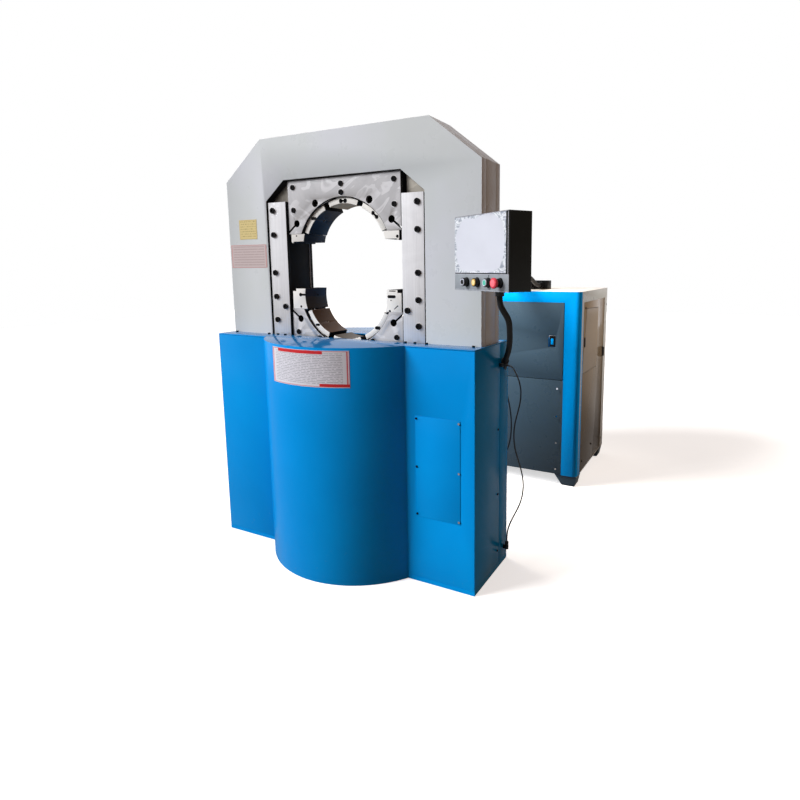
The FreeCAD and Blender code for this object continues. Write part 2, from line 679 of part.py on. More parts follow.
def make_control_box():
    wall = s.box_wall
    outer = slab("housing_outer", (0, s.box_width), (s.box_front, s.box_depth), (0, s.box_height))
    inner = slab("housing_inner", (wall, s.box_width - wall), (s.box_front, s.box_depth - wall),
                 (wall, s.box_height - wall))
    shell = cut("housing_shell", outer, [inner])
    gland = rod("housing_gland", s.gland_radius, (s.gland_along, s.gland_deep, -s.gland_length),
                s.gland_length + wall)
    place_in_box(fuse("housing", [shell, gland]), "control_housing")
    front = slab("panel_blank", (0, s.box_width), (0, s.box_front), (0, s.box_height))
    strip = slab("strip_blank", (0, s.box_width), (-s.strip_sheet, 0), (0, s.strip_height))
    front_holes = []
    strip_holes = []
    for index in range(4):
        x = s.first_button + s.button_step * index
        front_holes.append(rod(f"panel_hole_{index}", s.button_stem + s.running_gap, (x, 0, s.button_line),
                               s.box_front, "y"))
        strip_holes.append(rod(f"strip_hole_{index}", s.button_stem + s.running_gap,
                               (x, -s.strip_sheet, s.button_line), s.strip_sheet, "y"))
    place_in_box(cut("panel", front, front_holes), "control_panel")
    place_in_box(cut("strip", strip, strip_holes), "button_strip")
    screen = slab("screen_blank", (s.screen_left, s.screen_right), (-s.screen_sheet, 0),
                  (s.screen_low, s.screen_high))
    place_in_box(group("screen", [screen]), "touch_screen")
    make_buttons()
    half = s.pivot_half_height
    mid = s.arm_height - s.box_bottom
    x = s.box_width / 2
    lug_x = (x - s.lug_half_width, x + s.lug_half_width)
    back = s.box_depth
    plate = slab("hinge_plate", (x - s.bracket_half, x + s.bracket_half), (back, back + s.lug_sheet),
                 (mid - s.bracket_half, mid + s.bracket_half))
    parts = [plate]
    clear = half + s.seat_gap
    for name, low in (("low", mid - clear - s.lug_sheet), ("high", mid + clear)):
        tongue = slab(f"hinge_{name}_lug", lug_x, (back, back + s.pivot_out), (low, low + s.lug_sheet))
        eye = rod(f"hinge_{name}_eye", s.lug_half_width, (x, back + s.pivot_out, low), s.lug_sheet)
        parts += [tongue, eye]
    pin = rod("hinge_pin", s.pin_radius, (x, back + s.pivot_out, mid - clear - s.lug_sheet * 1.5),
              (clear + s.lug_sheet * 1.5) * 2)
    place_in_box(fuse("hinge", parts + [pin]), "box_hinge")


def make_buttons():
    """Selector, two push buttons and the mushroom stop, each with its stem through the panel."""
    strip = s.strip_sheet
    for index, label in enumerate(("selector_knob", "yellow_button", "green_button", "stop_button")):
        x = s.first_button + s.button_step * index
        z = s.button_line
        stem = rod(label + "_stem", s.button_stem, (x, -strip - s.button_travel * 2, z),
                   s.button_back + strip + s.button_travel * 2, "y")
        if label == "stop_button":
            neck = rod(label + "_neck", s.button_radius, (x, -strip - s.stop_out, z),
                       s.stop_out - s.stop_travel * 1.4, "y")
            cap = rod(label + "_cap", s.stop_radius, (x, -strip - s.stop_out - s.stop_cap * 0.4, z),
                      s.stop_cap, "y")
            parts = [stem, neck, cap]
        elif label == "selector_knob":
            disc = rod(label + "_disc", s.button_radius, (x, -strip - s.button_out, z),
                       s.button_out - s.seat_gap, "y")
            grip = slab(label + "_grip", (x - s.knob_grip / 2, x + s.knob_grip / 2),
                        (-strip - s.knob_out, -strip - s.seat_gap),
                        (z - s.button_radius, z + s.button_radius))
            parts = [stem, disc, grip]
        else:
            head = rod(label + "_head", s.button_radius, (x, -strip - s.button_out, z),
                       s.button_out - s.button_travel * 1.4, "y")
            parts = [stem, head]
        place_in_box(fuse(label + "_solid", parts), label)


def make_arm():
    face = s.frame_width / 2
    plate_x = face + s.bracket_sheet
    z = s.arm_height
    half = s.bracket_half
    plate = slab("bracket_plate", (face, plate_x), (s.arm_root_y - half, s.arm_root_y + half),
                 (z - half, z + half))
    parts = [plate]
    for index, (dy, dz) in enumerate(((-1, -1), (-1, 1), (1, -1), (1, 1))):
        parts.append(rod(f"bracket_bolt_{index}", s.bracket_bolt_radius,
                         (plate_x, s.arm_root_y + s.bracket_bolt_out * dy, z + s.bracket_bolt_out * dz),
                         s.bracket_bolt_head, "x"))
    node(fuse("bracket", parts), "arm_bracket")
    post = rod("arm_post", s.pivot_radius, (pivot_x, pivot_y, z - s.pivot_half_height),
               s.pivot_half_height * 2)
    hole = rod("arm_pin_hole", s.pin_radius + s.running_gap, (pivot_x, pivot_y, z - s.pivot_half_height),
               s.pivot_half_height * 2)
    run_x = pivot_x - plate_x
    run_y = pivot_y - s.arm_root_y
    tube = DOC.addObject("Part::Feature", "arm_tube")
    start = FreeCAD.Vector(plate_x.number, s.arm_root_y.number, z.number)
    along = FreeCAD.Vector(run_x.number, run_y.number, 0)
    room = along.Length * 2
    tube_end = along.Length - s.pivot_radius.number * 0.6
    blank = Part.makeCylinder(s.arm_radius.number, tube_end + s.arm_radius.number,
                              start - along.normalize() * s.arm_radius.number, along)
    keep = Part.makeBox(room, room * 2, room, FreeCAD.Vector(plate_x.number, -room, z.number - room / 2))
    tube.Shape = blank.common(keep)
    node(cut("arm", fuse("arm_blank", [tube, post]), [hole]), "support_arm")


# cords

def cord_wire(points):
    """Straight runs joined by tangent arcs, each as large as its two runs allow."""
    edges = []
    radii = []
    spots = [FreeCAD.Vector(*point) for point in points]
    last = spots[0]
    for before, corner, after in zip(spots, spots[1:], spots[2:]):
        back = (before - corner).normalize()
        ahead = (after - corner).normalize()
        turn = math.pi - back.getAngle(ahead)
        short = min((before - corner).Length, (after - corner).Length)
        setback = 0.45 * short
        radius = setback / math.tan(turn / 2)
        start = corner + back * setback
        end = corner + ahead * setback
        middle_way = (back + ahead).normalize()
        middle = corner + middle_way * (radius / math.cos(turn / 2) - radius)
        edges.append(Part.LineSegment(last, start).toShape())
        edges.append(Part.Arc(start, middle, end).toShape())
        radii.append(radius)
        last = end
    edges.append(Part.LineSegment(last, spots[-1]).toShape())
    return Part.Wire(edges), radii


def make_cord(label, radius, points):
    wire, radii = cord_wire(points)
    first = FreeCAD.Vector(*points[0])
    along = (FreeCAD.Vector(*points[1]) - first).normalize()
    ring = Part.Wire(Part.makeCircle(radius.number, first, along))
    tube = DOC.addObject("Part::Feature", label + "_tube")
    tube.Shape = wire.makePipeShell([ring], True, False)
    expected = math.pi * radius.number ** 2 * wire.Length
    print(f"{label}: length {wire.Length:.0f}, volume ratio {tube.Shape.Volume / expected:.4f}, "
          f"radii {' '.join(f'{value:.0f}' for value in radii)}")
    node(tube, label)


CONDUIT_ROUTE = [
    (876.8, -239.2, 1328.5), (876.8, -239.2, 1300.0), (884.0, -222.0, 1272.0), (888.0, -186.0, 1244.0),
    (884.0, -152.0, 1218.0), (873.0, -118.0, 1192.0), (861.0, -85.0, 1167.0), (850.0, -52.0, 1141.0),
    (837.0, -21.0, 1116.0), (822.0, 13.0, 1090.0), (804.0, 50.0, 1064.0), (784.5, 83.0, 1039.5),
    (766.0, 112.5, 1013.5),
]
SIDE_CABLE_ROUTE = [
    (766.0, 84.0, 996.0), (784.0, 84.0, 996.0), (793.0, 98.0, 993.0), (791.0, 126.0, 985.0),
    (786.0, 164.0, 970.0), (779.0, 206.0, 948.0), (775.5, 248.0, 918.0), (774.0, 284.0, 882.0),
    (775.0, 306.0, 840.0), (773.0, 313.0, 794.0), (769.0, 300.0, 748.0), (767.0, 268.0, 706.0),
    (766.5, 238.0, 660.0), (770.0, 226.0, 606.0), (772.0, 240.0, 548.0), (776.0, 280.0, 480.0),
    (773.0, 332.0, 412.0), (770.0, 370.0, 352.0), (772.5, 372.0, 300.0), (774.0, 346.0, 256.0),
    (774.0, 298.0, 226.0), (772.0, 238.0, 206.0), (771.0, 186.0, 188.0), (769.0, 158.0, 162.0),
    (768.0, 150.0, 132.0), (768.0, 150.0, 106.0),
]
REAR_CABLE_ROUTE = [
    (700.0, 208.5, 900.0), (700.0, 234.0, 900.0), (702.0, 262.0, 870.0), (706.0, 288.0, 818.0),
    (710.0, 318.0, 758.0), (712.0, 338.0, 694.0), (713.0, 346.0, 626.0), (712.0, 334.0, 566.0),
    (709.0, 302.0, 520.0), (704.0, 264.0, 494.0), (700.0, 236.0, 485.0), (700.0, 208.5, 485.0),
]
HOSE_ROUTE = [
    (400.0, 1535.0, 1313.0), (400.0, 1480.0, 1313.0), (398.0, 1420.0, 1340.0), (392.0, 1350.0, 1372.0),
    (384.0, 1270.0, 1380.0), (380.0, 1180.0, 1368.0), (382.0, 1080.0, 1348.0), (390.0, 970.0, 1324.0),
    (401.0, 850.0, 1301.0), (410.0, 730.0, 1272.0), (420.0, 620.0, 1245.0), (430.0, 525.0, 1190.0),
    (436.0, 445.0, 1105.0), (438.0, 385.0, 1018.0), (438.0, 345.0, 957.0), (437.0, 305.0, 919.0),
    (436.0, 268.0, 900.0), (436.0, 234.5, 900.0),
]


def shifted(route, step):
    """The same route moved along X."""
    return [(x + step, y, z) for x, y, z in route]


def make_cords():
    make_cord("conduit", s.conduit_radius, CONDUIT_ROUTE)
    make_cord("side_cable", s.cable_radius, SIDE_CABLE_ROUTE)
    make_cord("rear_cable", s.cable_radius, REAR_CABLE_ROUTE)
    make_cord("left_hose", s.hose_radius, HOSE_ROUTE)
    make_cord("right_hose", s.hose_radius, shifted(HOSE_ROUTE, s.hose_spacing.number))
    before, end = (FreeCAD.Vector(*point) for point in CONDUIT_ROUTE[-2:])
    side = SIDE_CABLE_ROUTE[0]
    tail = SIDE_CABLE_ROUTE[-1]
    stub = rod("conduit_stub", s.gland_radius, (half_length + s.stub_out, end.y, end.z), s.stub_length)
    stub.Placement.Rotation = FreeCAD.Rotation(FreeCAD.Vector(0, 0, 1), end - before)
    outside = slab("conduit_stub_room", (half_length, half_length * 2), (-half_depth, half_depth * 2),
                   (cabinet_top / 2, s.base_height * 2))
    base_gland = common("base_gland", stub, outside)
    side_gland = rod("side_gland", s.small_gland_radius, (half_length, side[1], side[2]),
                     s.small_gland_length, "x")
    plug_x = half_length + s.plug_out
    plug = rod("side_plug", s.plug_radius, (plug_x, tail[1], tail[2] - s.plug_length), s.plug_length)
    saddle = slab("plug_saddle", (half_length, plug_x),
                  (tail[1] - s.plug_radius / 2, tail[1] + s.plug_radius / 2),
                  (tail[2] - s.plug_length, tail[2] - s.plug_length / 2))
    glands = [base_gland, side_gland, fuse("plug_holder", [plug, saddle])]
    for index, point in enumerate((REAR_CABLE_ROUTE[0], REAR_CABLE_ROUTE[-1])):
        glands.append(rod(f"rear_gland_{index}", s.small_gland_radius, (point[0], half_depth, point[2]),
                          s.small_gland_length, "y"))
    node(group("gland_set", glands), "cable_glands")
    fittings = []
    hose_x, hose_y, hose_z = HOSE_ROUTE[0]
    end_x, _, end_z = HOSE_ROUTE[-1]
    for index in range(2):
        step = s.hose_spacing * index
        fittings.append(rod(f"unit_fitting_{index}", s.fitting_radius, (hose_x + step, hose_y, hose_z),
                            s.fitting_length, "y"))
        fittings.append(rod(f"base_fitting_{index}", s.fitting_radius, (end_x + step, half_depth, end_z),
                            s.fitting_length, "y"))
    block_y = hose_y + s.fitting_length
    block = slab("port_block", (hose_x - s.port_block / 2, hose_x + s.hose_spacing + s.port_block / 2),
                 (block_y, block_y + s.port_block), (s.unit_height, s.unit_height + s.port_height))
    node(group("fitting_set", fittings + [block]), "hose_fittings")


# hydraulic unit

def front_post(name, outer, inward, front, z_range):
    """A front corner post with a rounded outer corner. inward is 1 on the left post, -1 on the right."""
    turn = outer + s.post_round * inward
    inner = outer + s.post_width * inward
    flat = (turn, inner) if inward > 0 else (inner, turn)
    whole = (outer, inner) if inward > 0 else (inner, outer)
    face = slab(name + "_face", flat, (front, front + s.post_depth), z_range)
    body = slab(name + "_body", whole, (front + s.post_round, front + s.post_depth), z_range)
    corner = rod(name + "_corner", s.post_round, (turn, front + s.post_round, z_range[0]),
                 z_range[1] - z_range[0])
    return fuse(name, [face, body, corner])


def unit_foot(name, outer, inward, y):
    """A tapered foot under one corner of the hydraulic unit."""
    top = s.unit_foot
    points = [(outer, top), (outer + s.foot_top_width * inward, top),
              (outer + s.foot_inner * inward, 0), (outer + s.foot_outer * inward, 0)]
    return profile(name, [points], s.foot_length, y + s.foot_length)


def make_unit():
    right = s.unit_right
    left = right - s.unit_width
    front = s.unit_front
    rear = front + s.unit_depth
    foot = s.unit_foot
    top = s.unit_height
    parts = []
    for name, x, outer, inward in (("left", left, left, 1), ("right", right - s.post_width, right, -1)):
        parts.append(front_post(f"{name}_front_post", outer, inward, front, (foot, top)))
        parts.append(slab(f"{name}_rear_post", (x, x + s.post_width), (rear - s.post_depth, rear),
                          (foot, top)))
        parts.append(unit_foot(f"{name}_front_foot", outer, inward, front + s.foot_setback))
        parts.append(unit_foot(f"{name}_rear_foot", outer, inward,
                               rear - s.foot_length - s.foot_setback))
    bottom = slab("unit_tray", (left, right), (front + s.post_round, rear), (foot, foot + s.tray_sheet))
    parts.append(bottom)
    inner_left = left + s.post_width
    inner_right = right - s.post_width
    for name, y in (("front", front), ("rear", rear - s.post_width)):
        parts.append(slab(f"{name}_top_beam", (inner_left, inner_right), (y, y + s.post_width),
                          (top - s.beam_height, top)))
    for name, x in (("left", left), ("right", right - s.post_width)):
        parts.append(slab(f"{name}_side_beam", (x, x + s.post_width),
                          (front + s.post_depth, rear - s.post_depth), (top - s.beam_height, top)))
    hinge_x = inner_left + s.door_gap / 2
    hinge_y = front - s.hinge_radius
    for name, z in (("low", s.low_hinge), ("high", s.high_hinge)):
        under = z - s.hinge_length / 2 - s.seat_gap
        parts.append(slab(f"{name}_frame_leaf", (inner_left - s.hinge_leaf_width, inner_left),
                          (hinge_y, front), (under, under + s.hinge_length / 2)))
        parts.append(rod(f"{name}_frame_knuckle", s.hinge_radius, (hinge_x, hinge_y, under),
                         s.hinge_length / 2))
        parts.append(rod(f"{name}_frame_pin", s.hinge_pin, (hinge_x, hinge_y, under), s.hinge_length))
    node(fuse("unit_frame_blank", parts), "unit_frame")

    inset = s.unit_recess
    sheet = s.unit_panel
    low = foot + s.tray_sheet
    side_y = (front + s.post_depth, rear - s.post_depth)
    side_z = (low, top - s.beam_height)
    panels = [
        slab("unit_left_panel", (left + inset, left + inset + sheet), side_y, side_z),
        slab("unit_right_panel", (right - inset - sheet, right - inset), side_y, side_z),
        slab("unit_rear_panel", (inner_left, inner_right), (rear - inset - sheet, rear - inset), side_z),
        slab("unit_top_panel", (inner_left, inner_right), (front + s.post_width, rear - s.post_width),
             (top - sheet, top)),
    ]
    door_right = right - s.door_right_gap
    door_left = left + s.post_width + s.door_gap
    door_y = (front + s.seat_gap, front + s.door_sheet)
    door = slab("door_blank", (door_left, door_right), door_y, (s.door_seam, s.door_top))
    hollow = slab("door_hollow", (door_left + s.door_sheet, door_right - s.door_sheet),
                  (front + s.door_sheet / 2, front + s.door_sheet),
                  (s.door_seam + s.door_sheet, s.door_top - s.door_sheet))
    pull_x = right - s.pull_left
    recess = slab("door_recess", (pull_x, pull_x + s.pull_width), (front, front + s.pull_depth),
                  (s.pull_top - s.pull_height, s.pull_top))
    hinge_x = door_left - s.door_gap / 2
    hinge_y = front - s.hinge_radius
    door_parts = [cut("door_sheet_part", door, [hollow, recess])]
    for name, z in (("low", s.low_hinge), ("high", s.high_hinge)):
        door_parts.append(slab(f"{name}_door_leaf", (door_left, door_left + s.hinge_leaf_width),
                               (hinge_y, front + s.seat_gap), (z, z + s.hinge_length / 2)))
        door_parts.append(rod(f"{name}_door_knuckle", s.hinge_radius, (hinge_x, hinge_y, z),
                              s.hinge_length / 2))
    pins = [rod(f"{name}_hinge_hole", s.hinge_pin + s.running_gap, (hinge_x, hinge_y, z),
                s.hinge_length / 2) for name, z in (("low", s.low_hinge), ("high", s.high_hinge))]
    node(cut("door", fuse("door_blank_full", door_parts), pins), "unit_door")
    gap = s.seat_gap
    plate = slab("pull_plate", (pull_x + gap, pull_x + s.pull_width - gap),
                 (front + s.pull_depth / 2, front + s.pull_depth - gap),
                 (s.pull_top - s.pull_height + gap, s.pull_top - gap))
    node(plate, "unit_door_pull")
    lower = slab("lower_panel_blank", (inner_left, inner_right), (front, front + s.door_sheet),
                 (low, s.door_seam - s.door_gap))
    node(group("unit_panel_set", panels + [lower]), "unit_panels")
    make_unit_inside(left, right, front, rear, low)


def make_unit_inside(left, right, front, rear, low):
    """Oil tank on the tray with the motor, bell housing and pump lying on its lid."""
    margin = s.tank_margin
    tank = slab("tank_blank", (left + margin, right - margin), (front + margin, rear - margin),
                (low, low + s.tank_height))
    node(tank, "oil_tank")
    lid = low + s.tank_height
    axis_z = lid + s.motor_foot + s.motor_radius
    middle_y = (front + rear) / 2
    motor_x = left + margin * 2
    motor = rod("motor_body", s.motor_radius, (motor_x, middle_y, axis_z), s.motor_length, "x")
    foot = slab("motor_foot_block", (motor_x + s.motor_foot, motor_x + s.motor_length - s.motor_foot),
                (middle_y - s.motor_radius, middle_y + s.motor_radius), (lid, axis_z - s.motor_radius / 2))
    node(fuse("motor", [motor, foot]), "pump_motor")
    bell_x = motor_x + s.motor_length
    bell = rod("bell_body", s.bell_radius, (bell_x, middle_y, axis_z), s.bell_length, "x")
    pump = rod("pump_body", s.pump_radius, (bell_x + s.bell_length, middle_y, axis_z),
               s.pump_length, "x")
    node(fuse("pump", [bell, pump]), "oil_pump")


def check_and_export():
    DOC.recompute()
    for item in DOC.Objects:
        if "Invalid" in item.State or "Error" in item.State:
            raise RuntimeError(f"{item.Name} failed: {item.State}")
    os.makedirs("parts", exist_ok=True)
    triangles = 0
    for item in PIECES:
        shape = item.Shape
        if shape.isNull() or not shape.isValid() or not shape.Solids:
            raise RuntimeError(f"{item.Label} has no valid solid")
        shape.exportStep(f"parts/{item.Label}.step")
        triangles += len(shape.tessellate(0.5)[1])
    print(f"{len(PIECES)} nodes, about {triangles} triangles")


make_base()
make_frame()
make_cylinder()
rail_bolts = make_guides()
upper_bolts = make_upper_holder()
node(group("frame_bolt_set", rail_bolts + upper_bolts), "frame_bolts")
make_lower_holder()
make_dies()
make_control_box()
make_arm()
make_cords()
make_unit()
check_and_export()
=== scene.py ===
"""Looks of a hose crimping machine: press, die ring, control box, cords and hydraulic unit.

All lengths are in metres, in the row's frame: X to the operator's right, Y away from the operator,
Z up, with the origin on the floor under the middle of the press base.
"""

import logging
import math
import random
from dataclasses import dataclass
from enum import Enum
from typing import Callable, Optional, Sequence

import bmesh
import bpy
from mathutils import Matrix, Vector


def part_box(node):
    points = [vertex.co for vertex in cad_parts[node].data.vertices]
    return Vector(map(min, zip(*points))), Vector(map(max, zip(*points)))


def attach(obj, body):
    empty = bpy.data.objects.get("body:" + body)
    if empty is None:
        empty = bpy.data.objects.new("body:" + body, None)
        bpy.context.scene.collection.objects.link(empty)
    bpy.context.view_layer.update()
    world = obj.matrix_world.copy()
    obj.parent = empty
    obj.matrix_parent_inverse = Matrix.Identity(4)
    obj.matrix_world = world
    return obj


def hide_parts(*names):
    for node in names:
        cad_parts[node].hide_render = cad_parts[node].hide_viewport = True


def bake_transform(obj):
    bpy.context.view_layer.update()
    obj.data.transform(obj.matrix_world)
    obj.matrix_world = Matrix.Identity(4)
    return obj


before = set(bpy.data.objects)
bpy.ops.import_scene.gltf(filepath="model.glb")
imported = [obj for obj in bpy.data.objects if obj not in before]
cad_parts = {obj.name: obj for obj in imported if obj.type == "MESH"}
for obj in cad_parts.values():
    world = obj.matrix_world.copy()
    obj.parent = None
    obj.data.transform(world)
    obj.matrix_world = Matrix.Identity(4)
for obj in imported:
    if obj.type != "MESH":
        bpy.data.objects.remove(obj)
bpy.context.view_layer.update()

Colour = tuple[float, float, float]
Point = tuple[float, float, float]
Box = tuple[Vector, Vector]
Piece = bpy.types.Object
Material = bpy.types.Material
Socket = bpy.types.NodeSocket
Face = bpy.types.MeshPolygon
log = logging.getLogger("crimping_machine")

# The crimp axis runs along Y at CRIMP_HEIGHT, and the press is even about PRESS_MIDDLE.
PRESS_MIDDLE = 0.0075
CRIMP_HEIGHT = 1.42

# Bolts farther out than RAIL_LINE hold the rails, and their heads are the taller ones.
RAIL_LINE = 0.335
RAIL_HEAD = 0.009
HOLDER_HEAD = 0.005

# A socket screw's rings, as shares of its radius, and its socket's share of its height.
SCREW_RIM = 0.16
SCREW_FLAT = 0.34
SOCKET_WALL = 0.02
SOCKET_DEPTH = 0.5

WELD_GAP = 0.00002
FLAT_ANGLE = math.radians(0.6)
SHARP_CORNER = math.radians(30.0)
SOFT_CORNER = math.radians(50.0)


class Axis(Enum):
    """A direction along which a solid is built or a finish runs."""

    X = 0
    Y = 1
    Z = 2


def linear(red: int, green: int, blue: int) -> Colour:
    """Turn a screen colour into the linear colour that a shader takes.

    Args:
        red, green, blue: The colour from 0 to 255.

    Returns:
        The linear colour.
    """
    def channel(value: int) -> float:
        """Undo the screen curve of one channel."""
        share = value / 255
        return share / 12.92 if share <= 0.04045 else ((share + 0.055) / 1.055) ** 2.4
    return channel(red), channel(green), channel(blue)


def shade_of(colour: Colour, factor: float, lift: float = 0.0) -> Colour:
    """A lighter or darker copy of a colour."""
    return tuple(min(1.0, value * factor + lift) for value in colour)


class Nodes:
    """A node tree whose nodes are added one after another."""

    def __init__(self, tree: bpy.types.NodeTree) -> None:
        """Work on the tree of a material or of the world."""
        self.tree = tree

    def node(self, kind: str, **inputs: object) -> bpy.types.Node:
        """Add a node.

        Args:
            kind: Its type.
            inputs: Values or sockets by input name, with underscores for spaces.

        Returns:
            The node.
        """
        made = self.tree.nodes.new(kind)
        for name, value in inputs.items():
            self.feed(made.inputs[name.replace("_", " ")], value)
        return made

    def feed(self, socket: Socket, value: object) -> None:
        """Link a socket to another, or set its value."""
        if isinstance(value, Socket):
            self.tree.links.new(value, socket)
        elif isinstance(value, tuple) and len(value) == 3 and socket.type == "RGBA":
            socket.default_value = (*value, 1.0)
        else:
            socket.default_value = value

    def ramp(self, grey: Socket, stops: Sequence[tuple[float, Colour]]) -> Socket:
        """Map a grey value to colours.

        Args:
            grey: The value.
            stops: Positions from 0 to 1 with their colours.

        Returns:
            The colour.
        """
        made = self.node("ShaderNodeValToRGB", Fac=grey)
        elements = made.color_ramp.elements
        while len(elements) < len(stops):
            elements.new(0.5)
        for element, (position, colour) in zip(elements, stops):
            element.position = position
            element.color = (*colour, 1.0)
        return made.outputs["Color"]

    def band(self, grey: Socket, low: float, high: float, start: float = 0.0,
             end: float = 1.0) -> Socket:
        """Map a grey value from one range to another, clamped."""
        made = self.node("ShaderNodeMapRange", Value=grey)
        for name, value in zip(("From Min", "From Max", "To Min", "To Max"), (low, high, start, end)):
            made.inputs[name].default_value = value
        return made.outputs["Result"]

    def blend(self, share: object, first: object, second: object) -> Socket:
        """Mix two colours and return the result."""
        made = self.tree.nodes.new("ShaderNodeMix")
        made.data_type = "RGBA"
        self.feed(made.inputs[0], share)
        self.feed(made.inputs[6], first)
        self.feed(made.inputs[7], second)
        return made.outputs[2]

    def split(self, vector: Socket) -> bpy.types.NodeOutputs:
        """Take a vector apart."""
        return self.node("ShaderNodeSeparateXYZ", Vector=vector).outputs

    def math(self, kind: str, *values: object) -> Socket:
        """Add one arithmetic step."""
        made = self.tree.nodes.new("ShaderNodeMath")
        made.operation = kind
        for socket, value in zip(made.inputs, values):
            self.feed(socket, value)
        return made.outputs[0]

    def times(self, *values: object) -> Socket:
        """Multiply values one after another."""
        product = values[0]
        for value in values[1:]:
            product = self.math("MULTIPLY", product, value)
        return product


class Shader(Nodes):
    """A material with a principled surface."""

    def __init__(self, name: str) -> None:
        """Start a material with its coordinates at hand."""
        self.material = bpy.data.materials.new(name)
        self.material.use_nodes = True
        super().__init__(self.material.node_tree)
        self.surface = self.tree.nodes["Principled BSDF"]
        coordinates = self.tree.nodes.new("ShaderNodeTexCoord").outputs
        self.place = coordinates["Object"]
        self.uv = coordinates["UV"]
        self.last_bump: Optional[Socket] = None

    def stretched(self, scale: Point, place: Optional[Socket] = None) -> Socket:
        """Scale a pattern's coordinates, which are the piece's own unless others are given."""
        return self.node("ShaderNodeMapping", Vector=place or self.place, Scale=scale).outputs["Vector"]

    def drawn(self, axis: Axis, across: float, along: float) -> Socket:
        """Coordinates of a pattern that is drawn out along one axis.

        Args:
            axis: The axis.
            across: The pattern's scale across it.
            along: The pattern's scale along it.

        Returns:
            The new coordinates.
        """
        scale = [across] * 3
        scale[axis.value] = along
        return self.stretched(tuple(scale))

    def noise(self, scale: float, detail: float = 3.0, rough: float = 0.5,
              place: Optional[Socket] = None, twist: float = 0.0) -> Socket:
        """Add a noise pattern and return its grey value."""
        made = self.node("ShaderNodeTexNoise", Vector=place or self.place, Scale=scale, Detail=detail,
                         Roughness=rough, Distortion=twist)
        return made.outputs["Fac"]

    def bump(self, height: Socket, depth: float, strength: float = 1.0) -> None:
        """Add relief on top of what is there.

        Args:
            height: The pattern.
            depth: Its height in metres.
            strength: Its weight.
        """
        made = self.node("ShaderNodeBump", Height=height, Distance=depth, Strength=strength)
        if self.last_bump is not None:
            self.feed(made.inputs["Normal"], self.last_bump)
        self.last_bump = made.outputs["Normal"]
        self.feed(self.surface.inputs["Normal"], self.last_bump)

    def set(self, **inputs: object) -> "Shader":
        """Set inputs of the surface by name, with underscores for spaces."""
        for name, value in inputs.items():
            self.feed(self.surface.inputs[name.replace("_", " ")], value)
        return self


@dataclass(frozen=True)
class GlossPaint:
    """Sprayed enamel with orange peel, slow waves, a little dust near the floor, and painted shade towards
    the bottom where asked.
    """

    name: str
    colour: Colour
    rough: float = 0.2
    shine: float = 0.3
    mottle: float = 0.05
    tint: Colour = (1.0, 1.0, 1.0)
    peel: float = 0.00003
    wave: float = 0.0006
    # Share of painted shade that darkens the paint towards the bottom.
    painted_low_shade: float = 0.0

    def material(self) -> Material:
        """Build the paint."""
        shade = Shader(self.name)
        dark = shade_of(self.colour, 1 - self.mottle)
        bright = shade_of(self.colour, 1 + self.mottle)
        light = tuple(value * tone for value, tone in zip(bright, self.tint))
        patches = shade.noise(1.7, 4.0, 0.5)
        colour = shade.ramp(patches, [(0.36, dark), (0.5, self.colour), (0.66, light)])
        height = shade.split(shade.place)[Axis.Z.value]
        dust = shade.band(shade.noise(38.0, 6.0, 0.7), 0.62, 0.82)
        film = shade.times(dust, shade.band(height, 0.3, 0.0), 0.3)
        colour = shade.blend(film, colour, linear(120, 116, 110))
        # Painted shade: the colour darkens towards the bottom, for the dark floor that a glossy side
        # reflects.
        if self.painted_low_shade:
            low = shade.times(shade.band(height, 1.0, 0.25), self.painted_low_shade)
            colour = shade.blend(low, colour, shade_of(self.colour, 0.1))
        wear = shade.band(shade.noise(9.0, 5.0, 0.6), 0.35, 0.75, self.rough * 0.85, self.rough * 1.3)
        shade.set(Base_Color=colour, Roughness=wear, Specular_IOR_Level=self.shine)
        shade.bump(shade.noise(2.6, 1.0, 0.4), self.wave, 0.3)
        shade.bump(shade.noise(260.0, 2.0, 0.5), self.peel, 0.5)
        return shade.material


@dataclass(frozen=True)
class GroundSteel:
    """Ground or milled steel: fine lines one way, and cloudy wiping marks across them."""

    name: str
    colour: Colour
    lines: Axis = Axis.Z
    rough: float = 0.3
    cloud: float = 0.2
    streak: float = 0.14
    metal: float = 0.85
    swirl: float = 0.0

    def material(self) -> Material:
        """Build the steel."""
        shade = Shader(self.name)
        lines = shade.noise(1.0, 5.0, 0.62, shade.drawn(self.lines, 150.0, 2.0))
        bands = shade.noise(1.0, 3.0, 0.5, shade.drawn(self.lines, 24.0, 0.8))
        haze = shade.noise(5.0, 5.0, 0.55, twist=1.2)
        low = shade_of(self.colour, 1 - self.cloud)
        high = shade_of(self.colour, 1 + self.cloud * 0.7)
        cloudy = shade.ramp(haze, [(0.36, low), (0.5, self.colour), (0.64, high)])
        grain = shade.blend(shade.band(lines, 0.36, 0.68, 0.0, self.streak * 2), cloudy,
                            shade_of(self.colour, 1 - self.streak * 2.5))
        colour = shade.blend(shade.band(bands, 0.35, 0.7, 0.0, self.streak * 2), grain, high)
        if self.swirl:
            wiping = shade.noise(3.4, 2.0, 0.45, shade.stretched((1.0, 1.0, 1.6)), 3.0)
            edge = shade.math("SUBTRACT", shade.band(wiping, 0.5, 0.53), shade.band(wiping, 0.6, 0.68))
            colour = shade.blend(shade.times(edge, self.swirl), colour, shade_of(self.colour, 1.4))
        shade.set(Base_Color=colour, Metallic=self.metal, Anisotropic=0.3)
        shade.set(Roughness=shade.band(haze, 0.35, 0.65, self.rough * 0.85, self.rough * 1.25))
        shade.bump(lines, 0.00005, 0.35)
        return shade.material


